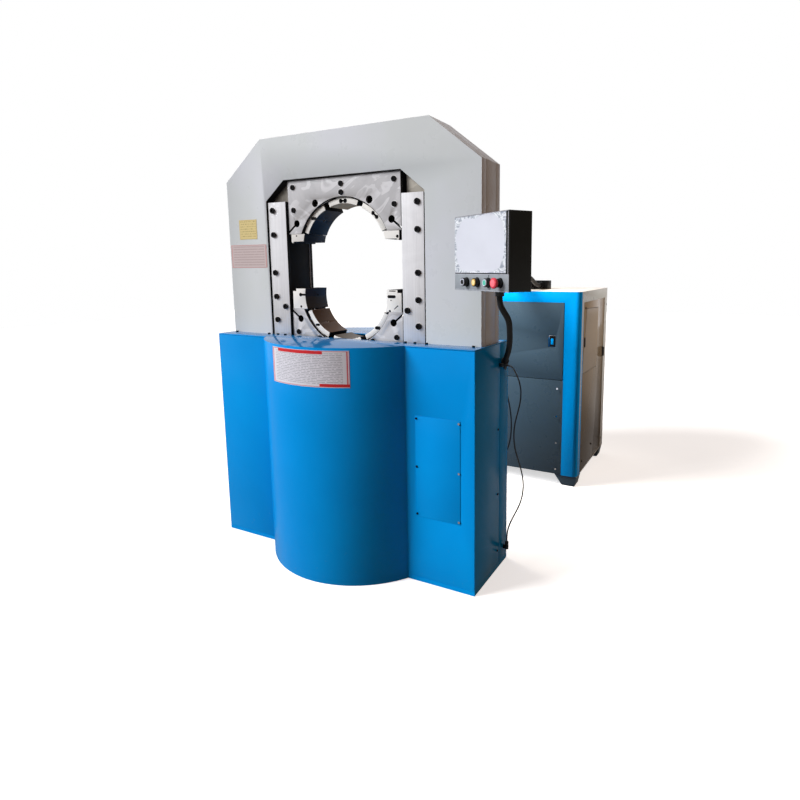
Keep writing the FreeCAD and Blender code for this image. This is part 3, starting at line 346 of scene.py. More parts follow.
@dataclass(frozen=True)
class BrownedSteel:
    """Oiled steel with a dark oxide skin, rubbed through in patches."""

    name: str
    colour: Colour
    rubbed: Colour
    rough: float = 0.38
    metal: float = 0.6
    lines: Axis = Axis.Y

    def material(self) -> Material:
        """Build the oxide skin."""
        shade = Shader(self.name)
        patches = shade.noise(11.0, 6.0, 0.65, twist=0.8)
        marks = shade.noise(1.0, 4.0, 0.7, shade.drawn(self.lines, 240.0, 6.0))
        skin = shade.ramp(patches, [(0.3, self.colour), (0.78, self.rubbed)])
        lighter = shade_of(self.rubbed, 1.5, 0.004)
        shade.set(Base_Color=shade.blend(shade.band(marks, 0.58, 0.75, 0.0, 0.4), skin, lighter))
        shade.set(Metallic=self.metal, Roughness=shade.band(patches, 0.3, 0.7, self.rough, self.rough * 1.4))
        shade.bump(marks, 0.00005, 0.3)
        return shade.material


@dataclass(frozen=True)
class Moulded:
    """Moulded plastic, powder coat or rubber with a fine grain."""

    name: str
    colour: Colour
    rough: float = 0.4
    grain: float = 0.00006
    grain_scale: float = 900.0
    metal: float = 0.0
    coat: float = 0.0

    def material(self) -> Material:
        """Build the plastic."""
        shade = Shader(self.name)
        patches = shade.noise(24.0, 4.0, 0.6)
        dark = shade_of(self.colour, 0.88)
        light = shade_of(self.colour, 1.1, 0.001)
        shade.set(Base_Color=shade.ramp(patches, [(0.3, dark), (0.7, light)]), Metallic=self.metal,
                  Coat_Weight=self.coat,
                  Roughness=shade.band(patches, 0.3, 0.7, self.rough * 0.85, self.rough * 1.2))
        shade.bump(shade.noise(self.grain_scale, 2.0, 0.6), self.grain, 0.4)
        return shade.material


@dataclass(frozen=True)
class Polished(Moulded):
    """Button plastic with hardly any grain."""

    rough: float = 0.3
    grain: float = 0.00001
    grain_scale: float = 300.0


@dataclass(frozen=True)
class RuledPlate:
    """A printed plate with a border and plain ruled rows, and no words."""

    name: str
    ground: Colour
    ink: Colour
    rows: float
    border: Colour
    density: float = 0.55
    weight: float = 0.6

    def material(self) -> Material:
        """Build the print on the plate's own UV map."""
        shade = Shader(self.name)
        along, up, _ = shade.split(shade.uv)
        row = shade.math("FRACT", shade.times(up, self.rows))
        ruled = shade.math("LESS_THAN", row, 0.42)
        cells = shade.noise(1.0, 1.0, 0.5, shade.stretched((46.0, self.rows * 1.03, 1.0), shade.uv))
        filled = shade.math("GREATER_THAN", cells, self.density)
        margins = [shade.math("MINIMUM", side, shade.math("SUBTRACT", 1.0, side)) for side in (along, up)]
        edge = shade.math("MINIMUM", *margins)
        inside = shade.math("GREATER_THAN", edge, 0.07)
        rim = shade.times(shade.math("GREATER_THAN", edge, 0.015), shade.math("LESS_THAN", edge, 0.03))
        base = shade.blend(shade.noise(6.0, 3.0), self.ground, shade_of(self.ground, 0.93))
        inked = shade.blend(shade.times(ruled, filled, inside, self.weight), base, self.ink)
        shade.set(Base_Color=shade.blend(rim, inked, self.border), Roughness=0.45)
        return shade.material


@dataclass(frozen=True)
class CreasedFilm:
    """Milky protective film, smooth in the middle and crumpled to silver grey at its corners."""

    name: str
    milk: Colour
    crease_dark: Colour
    crease_light: Colour

    def material(self) -> Material:
        """Build the film on the sheet's own UV map."""
        shade = Shader(self.name)
        uv = shade.uv
        along, up, _ = shade.split(uv)
        reach = []
        for side in (along, up):
            centred = shade.math("ABSOLUTE", shade.math("SUBTRACT", shade.times(side, 2.0), 1.0))
            reach.append(shade.math("POWER", centred, 3.2))
        corner = shade.math("ADD", *reach)
        wander = shade.times(shade.noise(3.4, 1.0, 0.4, uv), 0.9)
        share = shade.band(shade.math("ADD", corner, wander), 1.3, 1.36)
        folds = shade.noise(4.5, 2.0, 0.5, uv, 1.6)
        silver = shade.ramp(folds, [(0.38, self.crease_dark), (0.5, self.crease_light),
                                    (0.56, self.crease_dark), (0.66, self.crease_light)])
        haze = shade.noise(2.0, 3.0, 0.5, uv)
        milk = shade.blend(shade.band(haze, 0.35, 0.65), self.milk, shade_of(self.milk, 0.95))
        shade.set(Base_Color=shade.blend(share, milk, silver), Roughness=0.3, Specular_IOR_Level=0.4)
        shade.bump(shade.noise(14.0, 4.0, 0.6, uv, 2.0), 0.0008, 0.3)
        return shade.material


class Finishes:
    """Every finish of the machine, built once."""

    def __init__(self) -> None:
        """Build them all."""
        made = [
            GlossPaint("blue_enamel", linear(0, 144, 224), rough=0.2, shine=0.1, tint=(1.0, 1.04, 1.0)),
            # A darker copy of the blue for upward faces: painted shade.
            GlossPaint("blue_top_shade_enamel", linear(24, 116, 180), rough=0.12, shine=0.8),
            GlossPaint("unit_blue_enamel", linear(0, 146, 226), rough=0.24, shine=0.12),
            GlossPaint("frame_grey_enamel", linear(196, 201, 204), rough=0.3, shine=0.3, mottle=0.03,
                       tint=(1.02, 1.0, 1.06)),
            GlossPaint("slate_enamel", linear(58, 76, 90), rough=0.3, shine=0.3, mottle=0.04),
            # Umber stands for a brown room reflected in the unit's glossy side, a painted reflection; its
            # painted low shade darkens it towards the bottom.
            GlossPaint("umber_reflection_enamel", linear(140, 124, 102), rough=0.14, shine=0.4, painted_low_shade=0.75),
            GlossPaint("strip_grey_enamel", linear(176, 180, 180), rough=0.3),
            GlossPaint("pale_top_enamel", linear(214, 210, 204), rough=0.35),
            GroundSteel("rail_steel", linear(246, 246, 248), Axis.Z, 0.34, 0.07, 0.17, 0.6),
            GroundSteel("holder_steel", linear(214, 213, 214), Axis.X, 0.36, 0.12, 0.05, 0.7, 0.55),
            GroundSteel("corner_steel", linear(190, 184, 172), Axis.X, 0.4, 0.2, 0.05, 0.6, 0.5),
            GroundSteel("die_front_steel", linear(244, 242, 238), Axis.X, 0.5, 0.04, 0.03, 0.15),
            GroundSteel("seat_steel", linear(236, 236, 238), Axis.X, 0.4, 0.03, 0.02, 0.2),
            GroundSteel("barrel_steel", linear(120, 123, 126), Axis.Z, 0.4, 0.2, 0.1),
            GroundSteel("chromed_steel", linear(228, 228, 231), Axis.Z, 0.12, 0.05, 0.03, 1.0),
            BrownedSteel("blued_steel", linear(20, 30, 42), linear(34, 46, 62)),
            BrownedSteel("side_blued_steel", linear(38, 37, 48), linear(58, 56, 66)),
            BrownedSteel("browned_steel", linear(82, 58, 40), linear(102, 76, 54), 0.45, 0.3),
            BrownedSteel("dull_browned_steel", linear(50, 44, 40), linear(66, 58, 52), 0.45, 0.3),
            BrownedSteel("tan_steel", linear(176, 158, 134), linear(206, 192, 170), 0.34, 0.7),
            BrownedSteel("low_tan_steel", linear(78, 68, 56), linear(112, 100, 84), 0.4, 0.6),
            BrownedSteel("guide_steel", linear(16, 18, 22), linear(34, 35, 40), 0.5, 0.4, Axis.Z),
            BrownedSteel("black_oxide", linear(9, 9, 10), linear(20, 20, 22), 0.42),
            # Black for real seams and joints, and for side faces in narrow gaps as painted shade.
            Moulded("joint_and_gap_shade_black", linear(8, 8, 9), 0.75),
            Moulded("box_black", linear(20, 26, 26), 0.34),
            Moulded("collar_black", linear(11, 11, 12), 0.32),
            Moulded("rubber_black", linear(15, 15, 16), 0.5, 0.0001, 500.0),
            Moulded("cable_black", linear(20, 20, 22), 0.42, 0.00004),
            Moulded("strip_silver", linear(156, 163, 170), 0.36, 0.00003, 1200.0, 0.3),
            Moulded("bezel_and_highlight_silver", linear(206, 206, 216), 0.3, 0.00003, 1200.0, 0.3),
            Polished("pale_ring", linear(214, 220, 236), coat=0.3),
            Polished("yellow_plastic", linear(242, 218, 156), coat=0.3),
            Polished("deep_yellow_plastic", linear(222, 180, 92)),
            Polished("green_plastic", linear(74, 186, 162), coat=0.3),
            Polished("red_plastic", linear(214, 46, 66), 0.26, coat=0.4),
            Polished("pale_red_plastic", linear(244, 112, 126)),
            Moulded("pump_iron", linear(70, 74, 78), 0.5, 0.0002, 300.0),
            Moulded("tank_grey", linear(120, 124, 126), 0.45),
            Moulded("red_ink", linear(206, 40, 48), 0.45, 0.00001),
            RuledPlate("yellow_plate", linear(222, 204, 146), linear(156, 138, 88), 8.0,
                       linear(190, 164, 100), 0.5, 0.7),
            RuledPlate("red_rimmed_plate", linear(204, 190, 190), linear(166, 142, 144), 9.0,
                       linear(196, 128, 130), 0.35, 0.55),
            RuledPlate("table_plate", linear(222, 222, 232), linear(116, 120, 136), 22.0,
                       linear(204, 96, 104), 0.42),
            CreasedFilm("screen_film", linear(205, 208, 219), linear(140, 148, 162), linear(222, 226, 232)),
        ]
        self.by_name = {finish.name: finish.material() for finish in made}

    def __getitem__(self, name: str) -> Material:
        """Return a finish by name."""
        return self.by_name[name]


def deselect() -> None:
    """Leave object mode's selection empty."""
    bpy.ops.object.select_all(action="DESELECT")


def activate(piece: Piece) -> Piece:
    """Make one piece the selected, active one."""
    deselect()
    piece.select_set(True)
    bpy.context.view_layer.objects.active = piece
    return piece


def settle(piece: Piece) -> Piece:
    """Move a piece's place into its mesh, so that its object sits at the origin."""
    activate(piece)
    bpy.ops.object.transform_apply(location=True, rotation=True, scale=True)
    return piece


def apply_modifier(piece: Piece, kind: str, **settings: object) -> Piece:
    """Add a modifier to a piece and apply it.

    Args:
        piece: The piece.
        kind: The modifier's type.
        settings: Its settings by name.

    Returns:
        The same piece.
    """
    activate(piece)
    step = piece.modifiers.new("step", kind)
    for name, value in settings.items():
        setattr(step, name, value)
    bpy.ops.object.modifier_apply(modifier=step.name)
    return piece


def block(name: str, low: Sequence[float], high: Sequence[float], edge: float = 0.0008) -> Piece:
    """Add a block between two corners, with rounded edges.

    Args:
        name: The piece's name.
        low: Its lowest corner.
        high: Its highest corner.
        edge: The width of the rounding.

    Returns:
        The piece.
    """
    deselect()
    low, high = Vector(low), Vector(high)
    bpy.ops.mesh.primitive_cube_add(size=1.0, location=(low + high) / 2, scale=high - low)
    piece = bpy.context.object
    piece.name = name
    return bevel(settle(piece), edge)


def drum(name: str, radius: float, start: Sequence[float], length: float, axis: Axis,
         sides: int = 32) -> Piece:
    """Add a round bar from its start along one axis.

    Args:
        name: The piece's name.
        radius: Its radius.
        start: The centre of its first end.
        length: Its length.
        axis: Its direction.
        sides: The number of sides.

    Returns:
        The piece.
    """
    deselect()
    turn = {Axis.X: (0, math.pi / 2, 0), Axis.Y: (math.pi / 2, 0, 0), Axis.Z: (0, 0, 0)}[axis]
    centre = Vector(start)
    centre[axis.value] += length / 2
    bpy.ops.mesh.primitive_cylinder_add(vertices=sides, radius=radius, depth=length, location=centre,
                                        rotation=turn)
    piece = bpy.context.object
    piece.name = name
    return settle(piece)


def bevel(piece: Piece, width: float, segments: int = 2) -> Piece:
    """Round the sharp edges of a piece."""
    return apply_modifier(piece, "BEVEL", width=width, segments=segments, limit_method="ANGLE",
                          angle_limit=SHARP_CORNER, use_clamp_overlap=True)


def smooth(piece: Piece, angle: float = SHARP_CORNER) -> Piece:
    """Shade a piece smooth up to an angle."""
    activate(piece)
    bpy.ops.object.shade_smooth_by_angle(angle=angle)
    return piece


def carve(piece: Piece, cutter: Piece) -> Piece:
    """Cut one piece out of another and delete the cutter."""
    apply_modifier(piece, "BOOLEAN", operation="DIFFERENCE", solver="EXACT", object=cutter)
    bpy.data.objects.remove(cutter)
    return piece


def join(name: str, parts: Sequence[Piece]) -> Piece:
    """Join several pieces into the first one, with each part's own finish."""
    activate(parts[0])
    for part in parts[1:]:
        part.select_set(True)
    if len(parts) > 1:
        bpy.ops.object.join()
    parts[0].name = name
    return parts[0]


def from_node(node: str, name: str) -> Piece:
    """Copy a CAD node's mesh as whole faces, ready for edge rounding.

    Args:
        node: The node's name.
        name: The new piece's name.

    Returns:
        The new piece.
    """
    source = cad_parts[node]
    piece = bpy.data.objects.new(name, source.data.copy())
    piece.data.materials.clear()
    bpy.context.collection.objects.link(piece)
    activate(piece)
    bpy.ops.object.mode_set(mode="EDIT")
    bpy.ops.mesh.select_all(action="SELECT")
    bpy.ops.mesh.remove_doubles(threshold=WELD_GAP)
    bpy.ops.mesh.dissolve_limited(angle_limit=FLAT_ANGLE)
    bpy.ops.object.mode_set(mode="OBJECT")
    return piece


def rounded_node(node: str, edge: float, segments: int = 2) -> Piece:
    """A copy of a CAD node with rounded edges and smooth curved faces."""
    return smooth(bevel(from_node(node, node + "_finished"), edge, segments))


def edgewise(face: Face) -> bool:
    """Whether a face looks across the crimp axis instead of along it."""
    return abs(face.normal.y) < 0.5


def looks_up(face: Face) -> bool:
    """Whether a face looks up."""
    return face.normal.z > 0.7


def islands(node: str) -> list[Box]:
    """Find the separate solids of a node.

    Args:
        node: The node's name.

    Returns:
        The lowest and highest corner of each solid.
    """
    mesh = bmesh.new()
    mesh.from_mesh(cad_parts[node].data)
    bmesh.ops.remove_doubles(mesh, verts=mesh.verts, dist=WELD_GAP)
    left = set(mesh.verts)
    found = []
    while left:
        stack = [left.pop()]
        group = []
        while stack:
            vert = stack.pop()
            group.append(vert.co.copy())
            for edge in vert.link_edges:
                other = edge.other_vert(vert)
                if other in left:
                    left.remove(other)
                    stack.append(other)
        low = Vector(min(co[axis] for co in group) for axis in range(3))
        high = Vector(max(co[axis] for co in group) for axis in range(3))
        found.append((low, high))
    mesh.free()
    return sorted(found, key=lambda pair: tuple(round(value, 4) for value in pair[0]))


def thin_axis(low: Vector, high: Vector) -> Axis:
    """The direction in which a screw head is thinnest."""
    size = high - low
    return Axis(min(range(3), key=lambda index: size[index]))


def socket_screw(name: str, low: Vector, high: Vector, axis: Axis) -> Piece:
    """A cap screw with a socket in place of a plain round one.

    Args:
        name: The piece's name.
        low: The plain screw's lowest corner.
        high: The plain screw's highest corner.
        axis: The direction of its axis.

    Returns:
        The screw.
    """
    size = high - low
    across = [index for index in range(3) if index != axis.value]
    radius = max(size[index] for index in across) / 2
    start = (low + high) / 2
    outward = start[axis.value] > 0
    start[axis.value] = low[axis.value]
    head = drum(name, radius, start, size[axis.value], axis, 24)
    activate(head)
    bpy.ops.object.mode_set(mode="EDIT")
    bpy.ops.mesh.select_all(action="DESELECT")
    shape = bmesh.from_edit_mesh(head.data)
    way = Vector((0.0, 0.0, 0.0))
    way[axis.value] = 1.0 if outward else -1.0
    for face in shape.faces:
        face.select_set(face.normal.dot(way) > 0.9)
    bmesh.update_edit_mesh(head.data)
    for share, depth in ((SCREW_RIM, 0.0), (SCREW_FLAT, 0.0), (SOCKET_WALL, -SOCKET_DEPTH)):
        bpy.ops.mesh.inset(thickness=radius * share, depth=size[axis.value] * depth)
    bpy.ops.object.mode_set(mode="OBJECT")
    return smooth(head)


def turned_rims(name: str, bolts: Sequence[Box], extra: float = 0.0035, height: float = 0.0004) -> Piece:
    """Bright turned seats round the heads of bolts that run along the crimp axis.

    Args:
        name: The piece's name.
        bolts: The lowest and highest corner of each bolt, with its shank.
        extra: How far a seat shows beyond its head.
        height: The height of a seat.

    Returns:
        The seats as one piece.
    """
    rims = []
    for low, high in bolts:
        middle = (low + high) / 2
        head = RAIL_HEAD if abs(middle.x) > RAIL_LINE else HOLDER_HEAD
        start = (middle.x, low.y + head - height if middle.y < PRESS_MIDDLE else high.y - head, middle.z)
        rims.append(bevel(drum(name, (high.x - low.x) / 2 + extra, start, height, Axis.Y, 36), 0.00012, 1))
    return smooth(join(name, rims))


def lozenge(name: str, centre: tuple[float, float], half: float, radius: float, angle: float, back: float,
            proud: float = 0.0007, sunk: float = 0.0004) -> Piece:
    """A thin plate with round ends that lies on a face towards the operator.

    Args:
        name: The piece's name.
        centre: Its X and Z.
        half: Half of its straight run, or 0 for a disc.
        radius: The radius of its ends.
        angle: Its turn in degrees.
        back: The Y of the face that it lies on.
        proud: How far it stands off that face.
        sunk: How far it reaches into it.

    Returns:
        The plate.
    """
    sides = 28
    deselect()
    bpy.ops.mesh.primitive_cylinder_add(vertices=sides, radius=radius, depth=proud + sunk,
                                        rotation=(0.0, 0.0, math.pi / sides))
    piece = settle(bpy.context.object)
    piece.name = name
    for vert in piece.data.vertices:
        vert.co.x += math.copysign(half, vert.co.x)
    bevel(piece, 0.0002, 1)
    piece.data.transform(Matrix.Translation((centre[0], back + (sunk - proud) / 2, centre[1]))
                         @ Matrix.Rotation(math.radians(-angle), 4, "Y")
                         @ Matrix.Rotation(math.pi / 2, 4, "X"))
    return smooth(piece)


def lay_uv(piece: Piece, along: Axis, up: Axis) -> None:
    """Lay a UV map of 0 to 1 over a flat piece.

    Args:
        piece: The piece.
        along: The axis of U.
        up: The axis of V.
    """
    layer = piece.data.uv_layers.active or piece.data.uv_layers.new(name="face")
    places = [vert.co for vert in piece.data.vertices]
    lows = [min(co[axis.value] for co in places) for axis in (along, up)]
    spans = [max(co[axis.value] for co in places) - low for axis, low in zip((along, up), lows)]
    for loop in piece.data.loops:
        co = places[loop.vertex_index]
        layer.data[loop.index].uv = [(co[axis.value] - low) / span
                                     for axis, low, span in zip((along, up), lows, spans)]


@dataclass
class Photographer:
    """The camera of the photograph, fitted to the frame, base and die ring."""

    place: Point = (1.695, -2.2779, 1.4429)
    yaw: float = 26.99
    pitch: float = 8.40
    roll: float = -0.30
    focal: float = 559.47
    centre: tuple[float, float] = (449.65, 349.48)
    picture: int = 800

    def set_up(self) -> None:
        """Create the camera."""
        yaw, pitch, roll = (math.radians(value) for value in (self.yaw, self.pitch, self.roll))
        ahead = Vector((-math.sin(yaw) * math.cos(pitch), math.cos(yaw) * math.cos(pitch), -math.sin(pitch)))
        right = Vector((math.cos(yaw), math.sin(yaw), 0.0))
        up = right.cross(ahead)
        right_rolled = right * math.cos(roll) + up * math.sin(roll)
        up_rolled = up * math.cos(roll) - right * math.sin(roll)
        data = bpy.data.cameras.new("photographer")
        data.sensor_width = 36.0
        data.lens = self.focal * data.sensor_width / self.picture
        data.shift_x = 0.5 - self.centre[0] / self.picture
        data.shift_y = self.centre[1] / self.picture - 0.5
        data.clip_end = 100.0
        camera = bpy.data.objects.new("photographer", data)
        camera.matrix_world = Matrix((
            (right_rolled.x, up_rolled.x, -ahead.x, self.place[0]),
            (right_rolled.y, up_rolled.y, -ahead.y, self.place[1]),
            (right_rolled.z, up_rolled.z, -ahead.z, self.place[2]),
            (0.0, 0.0, 0.0, 1.0),
        ))
        bpy.context.collection.objects.link(camera)
        bpy.context.scene.camera = camera


@dataclass(frozen=True)
class SoftLamp:
    """A warm square lamp aimed at a point, with its spread in degrees."""

    name: str
    place: Point
    target: Point
    power: float
    spread: float
    size: float = 0.7
    colour: Colour = (1.0, 0.93, 0.84)

    def hang(self) -> None:
        """Add the lamp, out of the camera's sight."""
        data = bpy.data.lights.new(self.name, "AREA")
        data.shape = "SQUARE"
        data.size = self.size
        data.energy = self.power
        data.color = self.colour
        data.spread = math.radians(self.spread)
        lamp = aimed(data, Vector(self.target) - Vector(self.place))
        lamp.visible_camera = False
        lamp.location = self.place


def aimed(data: bpy.types.Light, way: Vector) -> Piece:
    """Add a lamp that shines one way and that no mirror shows."""
    lamp = bpy.data.objects.new(data.name, data)
    lamp.visible_glossy = False
    lamp.rotation_euler = way.to_track_quat("-Z", "Y").to_euler()
    bpy.context.collection.objects.link(lamp)
    return lamp


@dataclass
class Studio:
    """White floor and surround, one broad soft key from the front left, and a dim warm right side."""

    floor_half: float = 14.0
    floor_drop: float = 0.0015
    key: float = 3.9
    key_way: Point = (-0.66, -0.56, 0.5)
    key_spread: float = 24.0
    lamps: Sequence[SoftLamp] = (SoftLamp("unit_lamp", (-0.35, 0.55, 2.35), (0.5, 1.3, 0.7), 24.0, 95.0),
                                 SoftLamp("side_lamp", (2.5, 2.7, 1.7), (0.84, 1.75, 0.95), 4.5, 56.0))
    sky: float = 0.42
    floor_glow: float = 0.62

    def set_up(self) -> None:
        """Build the floor, the lamps and the surround."""
        deselect()
        bpy.ops.mesh.primitive_plane_add(size=self.floor_half * 2, location=(0.0, 2.0, -self.floor_drop))
        floor = settle(bpy.context.object)
        floor.name = "studio_floor"
        floor.data.materials.append(self.floor_finish())
        data = bpy.data.lights.new("key_lamp", "SUN")
        data.energy = self.key
        data.angle = math.radians(self.key_spread)
        aimed(data, -Vector(self.key_way))
        for lamp in self.lamps:
            lamp.hang()
        self.surround()

    def floor_finish(self) -> Material:
        """White to the camera apart from the soft shadow, pale in reflections, and grey to the light."""
        shade = Shader("studio_floor")
        path = shade.node("ShaderNodeLightPath").outputs
        grain = shade.ramp(shade.noise(3.0, 3.0), [(0.3, (0.8, 0.8, 0.8)), (0.7, (0.83, 0.83, 0.83))])
        shade.set(Base_Color=shade.blend(path["Is Camera Ray"], (0.17, 0.165, 0.16), grain), Roughness=0.9,
                  Specular_IOR_Level=0.0)
        seen = shade.times(path["Is Camera Ray"], self.floor_glow)
        mirrored = shade.times(path["Is Glossy Ray"], 0.12)
        shade.set(Emission_Color=(1.0, 1.0, 1.0), Emission_Strength=shade.math("ADD", seen, mirrored))
        return shade.material

    def surround(self) -> None:
        """White to the camera, and a soft room, darker and warmer on the right, to the machine."""
        world = bpy.data.worlds.new("studio_surround")
        bpy.context.scene.world = world
        world.use_nodes = True
        world.node_tree.nodes.clear()
        sky = Nodes(world.node_tree)
        path = sky.node("ShaderNodeLightPath").outputs
        across, _, up = sky.split(sky.node("ShaderNodeTexCoord").outputs["Generated"])
        right = sky.band(across, -0.45, 0.2)
        high = sky.times(sky.band(across, 0.1, 0.5), sky.band(up, 0.3, 0.6))
        dim = sky.blend(high, (0.2, 0.17, 0.15), (1.35, 0.64, 0.24))
        soft = sky.blend(right, (1.0, 1.01, 1.03), dim)
        gleam = sky.blend(sky.band(across, 0.0, 0.5), (0.8, 0.8, 0.84), (0.14, 0.12, 0.1))
        room = sky.node("ShaderNodeBackground", Color=soft, Strength=self.sky)
        mirror = sky.node("ShaderNodeBackground", Color=gleam, Strength=1.0)
        white = sky.node("ShaderNodeBackground", Color=(1.0, 1.0, 1.0), Strength=1.0)
        reflected = self.either(sky, path["Is Glossy Ray"], room, mirror)
        seen = self.either(sky, path["Is Camera Ray"], reflected, white)
        sky.node("ShaderNodeOutputWorld", Surface=seen.outputs[0])

    @staticmethod
    def either(sky: Nodes, switch: Socket, first: bpy.types.Node,
               second: bpy.types.Node) -> bpy.types.Node:
        """Show the first light, or the second where the switch is on."""
        mixer = sky.tree.nodes.new("ShaderNodeMixShader")
        for socket, value in zip(mixer.inputs, (switch, first.outputs[0], second.outputs[0])):
            sky.feed(socket, value)
        return mixer


@dataclass
class Assembly:
    """A group of pieces that take their looks from the machine's finishes."""

    finishes: Finishes

    def coat(self, piece: Piece, finish: str) -> Piece:
        """Add a finish to a piece, as its first or its next one."""
        piece.data.materials.append(self.finishes[finish])
        return piece

    def paint(self, piece: Piece, finish: str, test: Callable[[Face], bool]) -> None:
        """Give the faces that pass a test another finish.

        Args:
            piece: The piece, which already has its first finish.
            finish: The other finish.
            test: Says whether a face gets it.
        """
        self.coat(piece, finish)
        index = len(piece.data.materials) - 1
        for face in piece.data.polygons:
            if test(face):
                face.material_index = index

    def dress(self, piece: Piece, body: str, finish: str, nodes: Sequence[str] = (),
              slot: str = "black_oxide") -> Piece:
        """Give a piece its finish and the body it rides on.

        Args:
            piece: The piece.
            body: The body's name.
            finish: The finish, for a piece that has none yet.
            nodes: The CAD nodes that it stands for.
            slot: A material slot's name; not used.

        Returns:
            The same piece.
        """
        if not piece.data.materials:
            self.coat(piece, finish)
        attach(piece, body)
        if nodes:
            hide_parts(*nodes)
        log.info("%s rides on %s", piece.name, body)
        return piece

    def dress_node(self, node: str, edge: float, body: str, finish: str, slot: str,
                   segments: int = 2) -> Piece:
        """Put a dressed copy of a CAD node, with its edges rounded in some segments, in its place."""
        return self.dress(rounded_node(node, edge, segments), body, finish, [node], slot)

    def dress_bolts(self, node: str, body: str, name: str) -> None:
        """Put cap screws on bright turned seats in the place of a node's plain bolts.

        Args:
            node: The node's name.
            body: The body's name.
            name: The start of the new pieces' names.
        """
        bolts = islands(node)
        heads = [socket_screw("bolt", low, high, Axis.Y) for low, high in bolts]
        self.dress(join(f"{name}_heads", heads), body, "black_oxide", [node])
        self.dress(turned_rims(f"{name}_seats", bolts), body, "seat_steel", slot="machined_steel")

    def keep(self, node: str, finish: str) -> None:
        """Give a CAD node that stays its finish."""
        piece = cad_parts[node]
        piece.data.materials.clear()
        self.coat(piece, finish)


@dataclass
class PaintedBase(Assembly):
    """Blue base cabinet with its drum covers, service panel, covers, screws and table plate."""

    edge: float = 0.0022
    panel_edge: float = 0.0008
    bright_reach: float = 0.03
    table_low: float = 0.925
    table_high: float = 1.088
    table_left: float = math.radians(-22.3)
    table_right: float = math.radians(28.3)
    drum_radius: float = 0.488
    drum_centre: float = 0.0735
    lift: float = 0.0001
    plate: float = 0.0003
    columns: int = 36

    def build(self) -> None:
        """Build every piece of the base."""
        for node in ("base_cabinet", "base_top_plate", "front_drum_cover", "rear_drum_cover",
                     "front_service_panel", "side_covers"):
            edge = self.panel_edge if node == "front_service_panel" else self.edge
            # Upward faces get the darker copy of the blue as painted shade.
            self.paint(self.dress_node(node, edge, "root", "blue_enamel", "blue_paint"), "blue_top_shade_enamel",
                       looks_up)
        self.keep("base_floor_plate", "blue_enamel")
        self.screws()
        self.table()

    def screws(self) -> None:
        """Screws of the base, pale down the right edge of the service panel and black elsewhere."""
        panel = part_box("front_service_panel")[1]
        parts = []
        for low, high in islands("base_screws"):
            middle = (low + high) / 2
            bright = abs(middle.x - panel.x) < self.bright_reach and middle.y < panel.y
            head = socket_screw("screw", low, high, thin_axis(low, high))
            parts.append(self.coat(head, "chromed_steel" if bright else "black_oxide"))
        self.dress(join("base_screw_heads", parts), "root", "black_oxide", ["base_screws"])

    def arc_strip(self, name: str, across: tuple[float, float], up: tuple[float, float], lift: float,
                  thickness: float) -> Piece:
        """A thin plate bent round the drum, over a part of the table.

        Args:
            name: The piece's name.
            across: Its ends, as shares of the table's width.
            up: Its lower and upper edge, as shares of the table's height.
            lift: Its distance from the drum.
            thickness: Its thickness.

        Returns:
            The piece, with a UV map over its face.
        """
        deselect()
        bpy.ops.mesh.primitive_grid_add(x_subdivisions=self.columns, y_subdivisions=2, size=1.0,
                                        calc_uvs=True)
        piece = bpy.context.object
        piece.name = name
        radius = self.drum_radius + lift
        for vert in piece.data.vertices:
            along = across[0] + (across[1] - across[0]) * (vert.co.x + 0.5)
            rise = up[0] + (up[1] - up[0]) * (vert.co.y + 0.5)
            angle = self.table_left + (self.table_right - self.table_left) * along
            vert.co = (radius * math.sin(angle), self.drum_centre - radius * math.cos(angle),
                       self.table_low + (self.table_high - self.table_low) * rise)
        return smooth(apply_modifier(piece, "SOLIDIFY", thickness=thickness, offset=1.0))

    def table(self) -> None:
        """The ruled table plate on the drum, with its red bars and edges."""
        sheet = self.arc_strip("table_plate", (0.0, 1.0), (0.0, 1.0), self.lift, self.plate)
        self.dress(sheet, "root", "table_plate", slot="blue_paint")
        for name, across, up in (("title_bar", (0.12, 0.72), (0.9, 0.99)),
                                 ("foot_bar", (0.68, 1.0), (0.02, 0.1)),
                                 ("left_bar", (0.0, 0.004), (0.0, 1.0)),
                                 ("right_bar", (0.996, 1.0), (0.0, 1.0))):
            bar = self.arc_strip(name, across, up, self.lift + self.plate * 1.3, self.plate * 0.5)
            self.dress(bar, "root", "red_ink", slot="blue_paint")


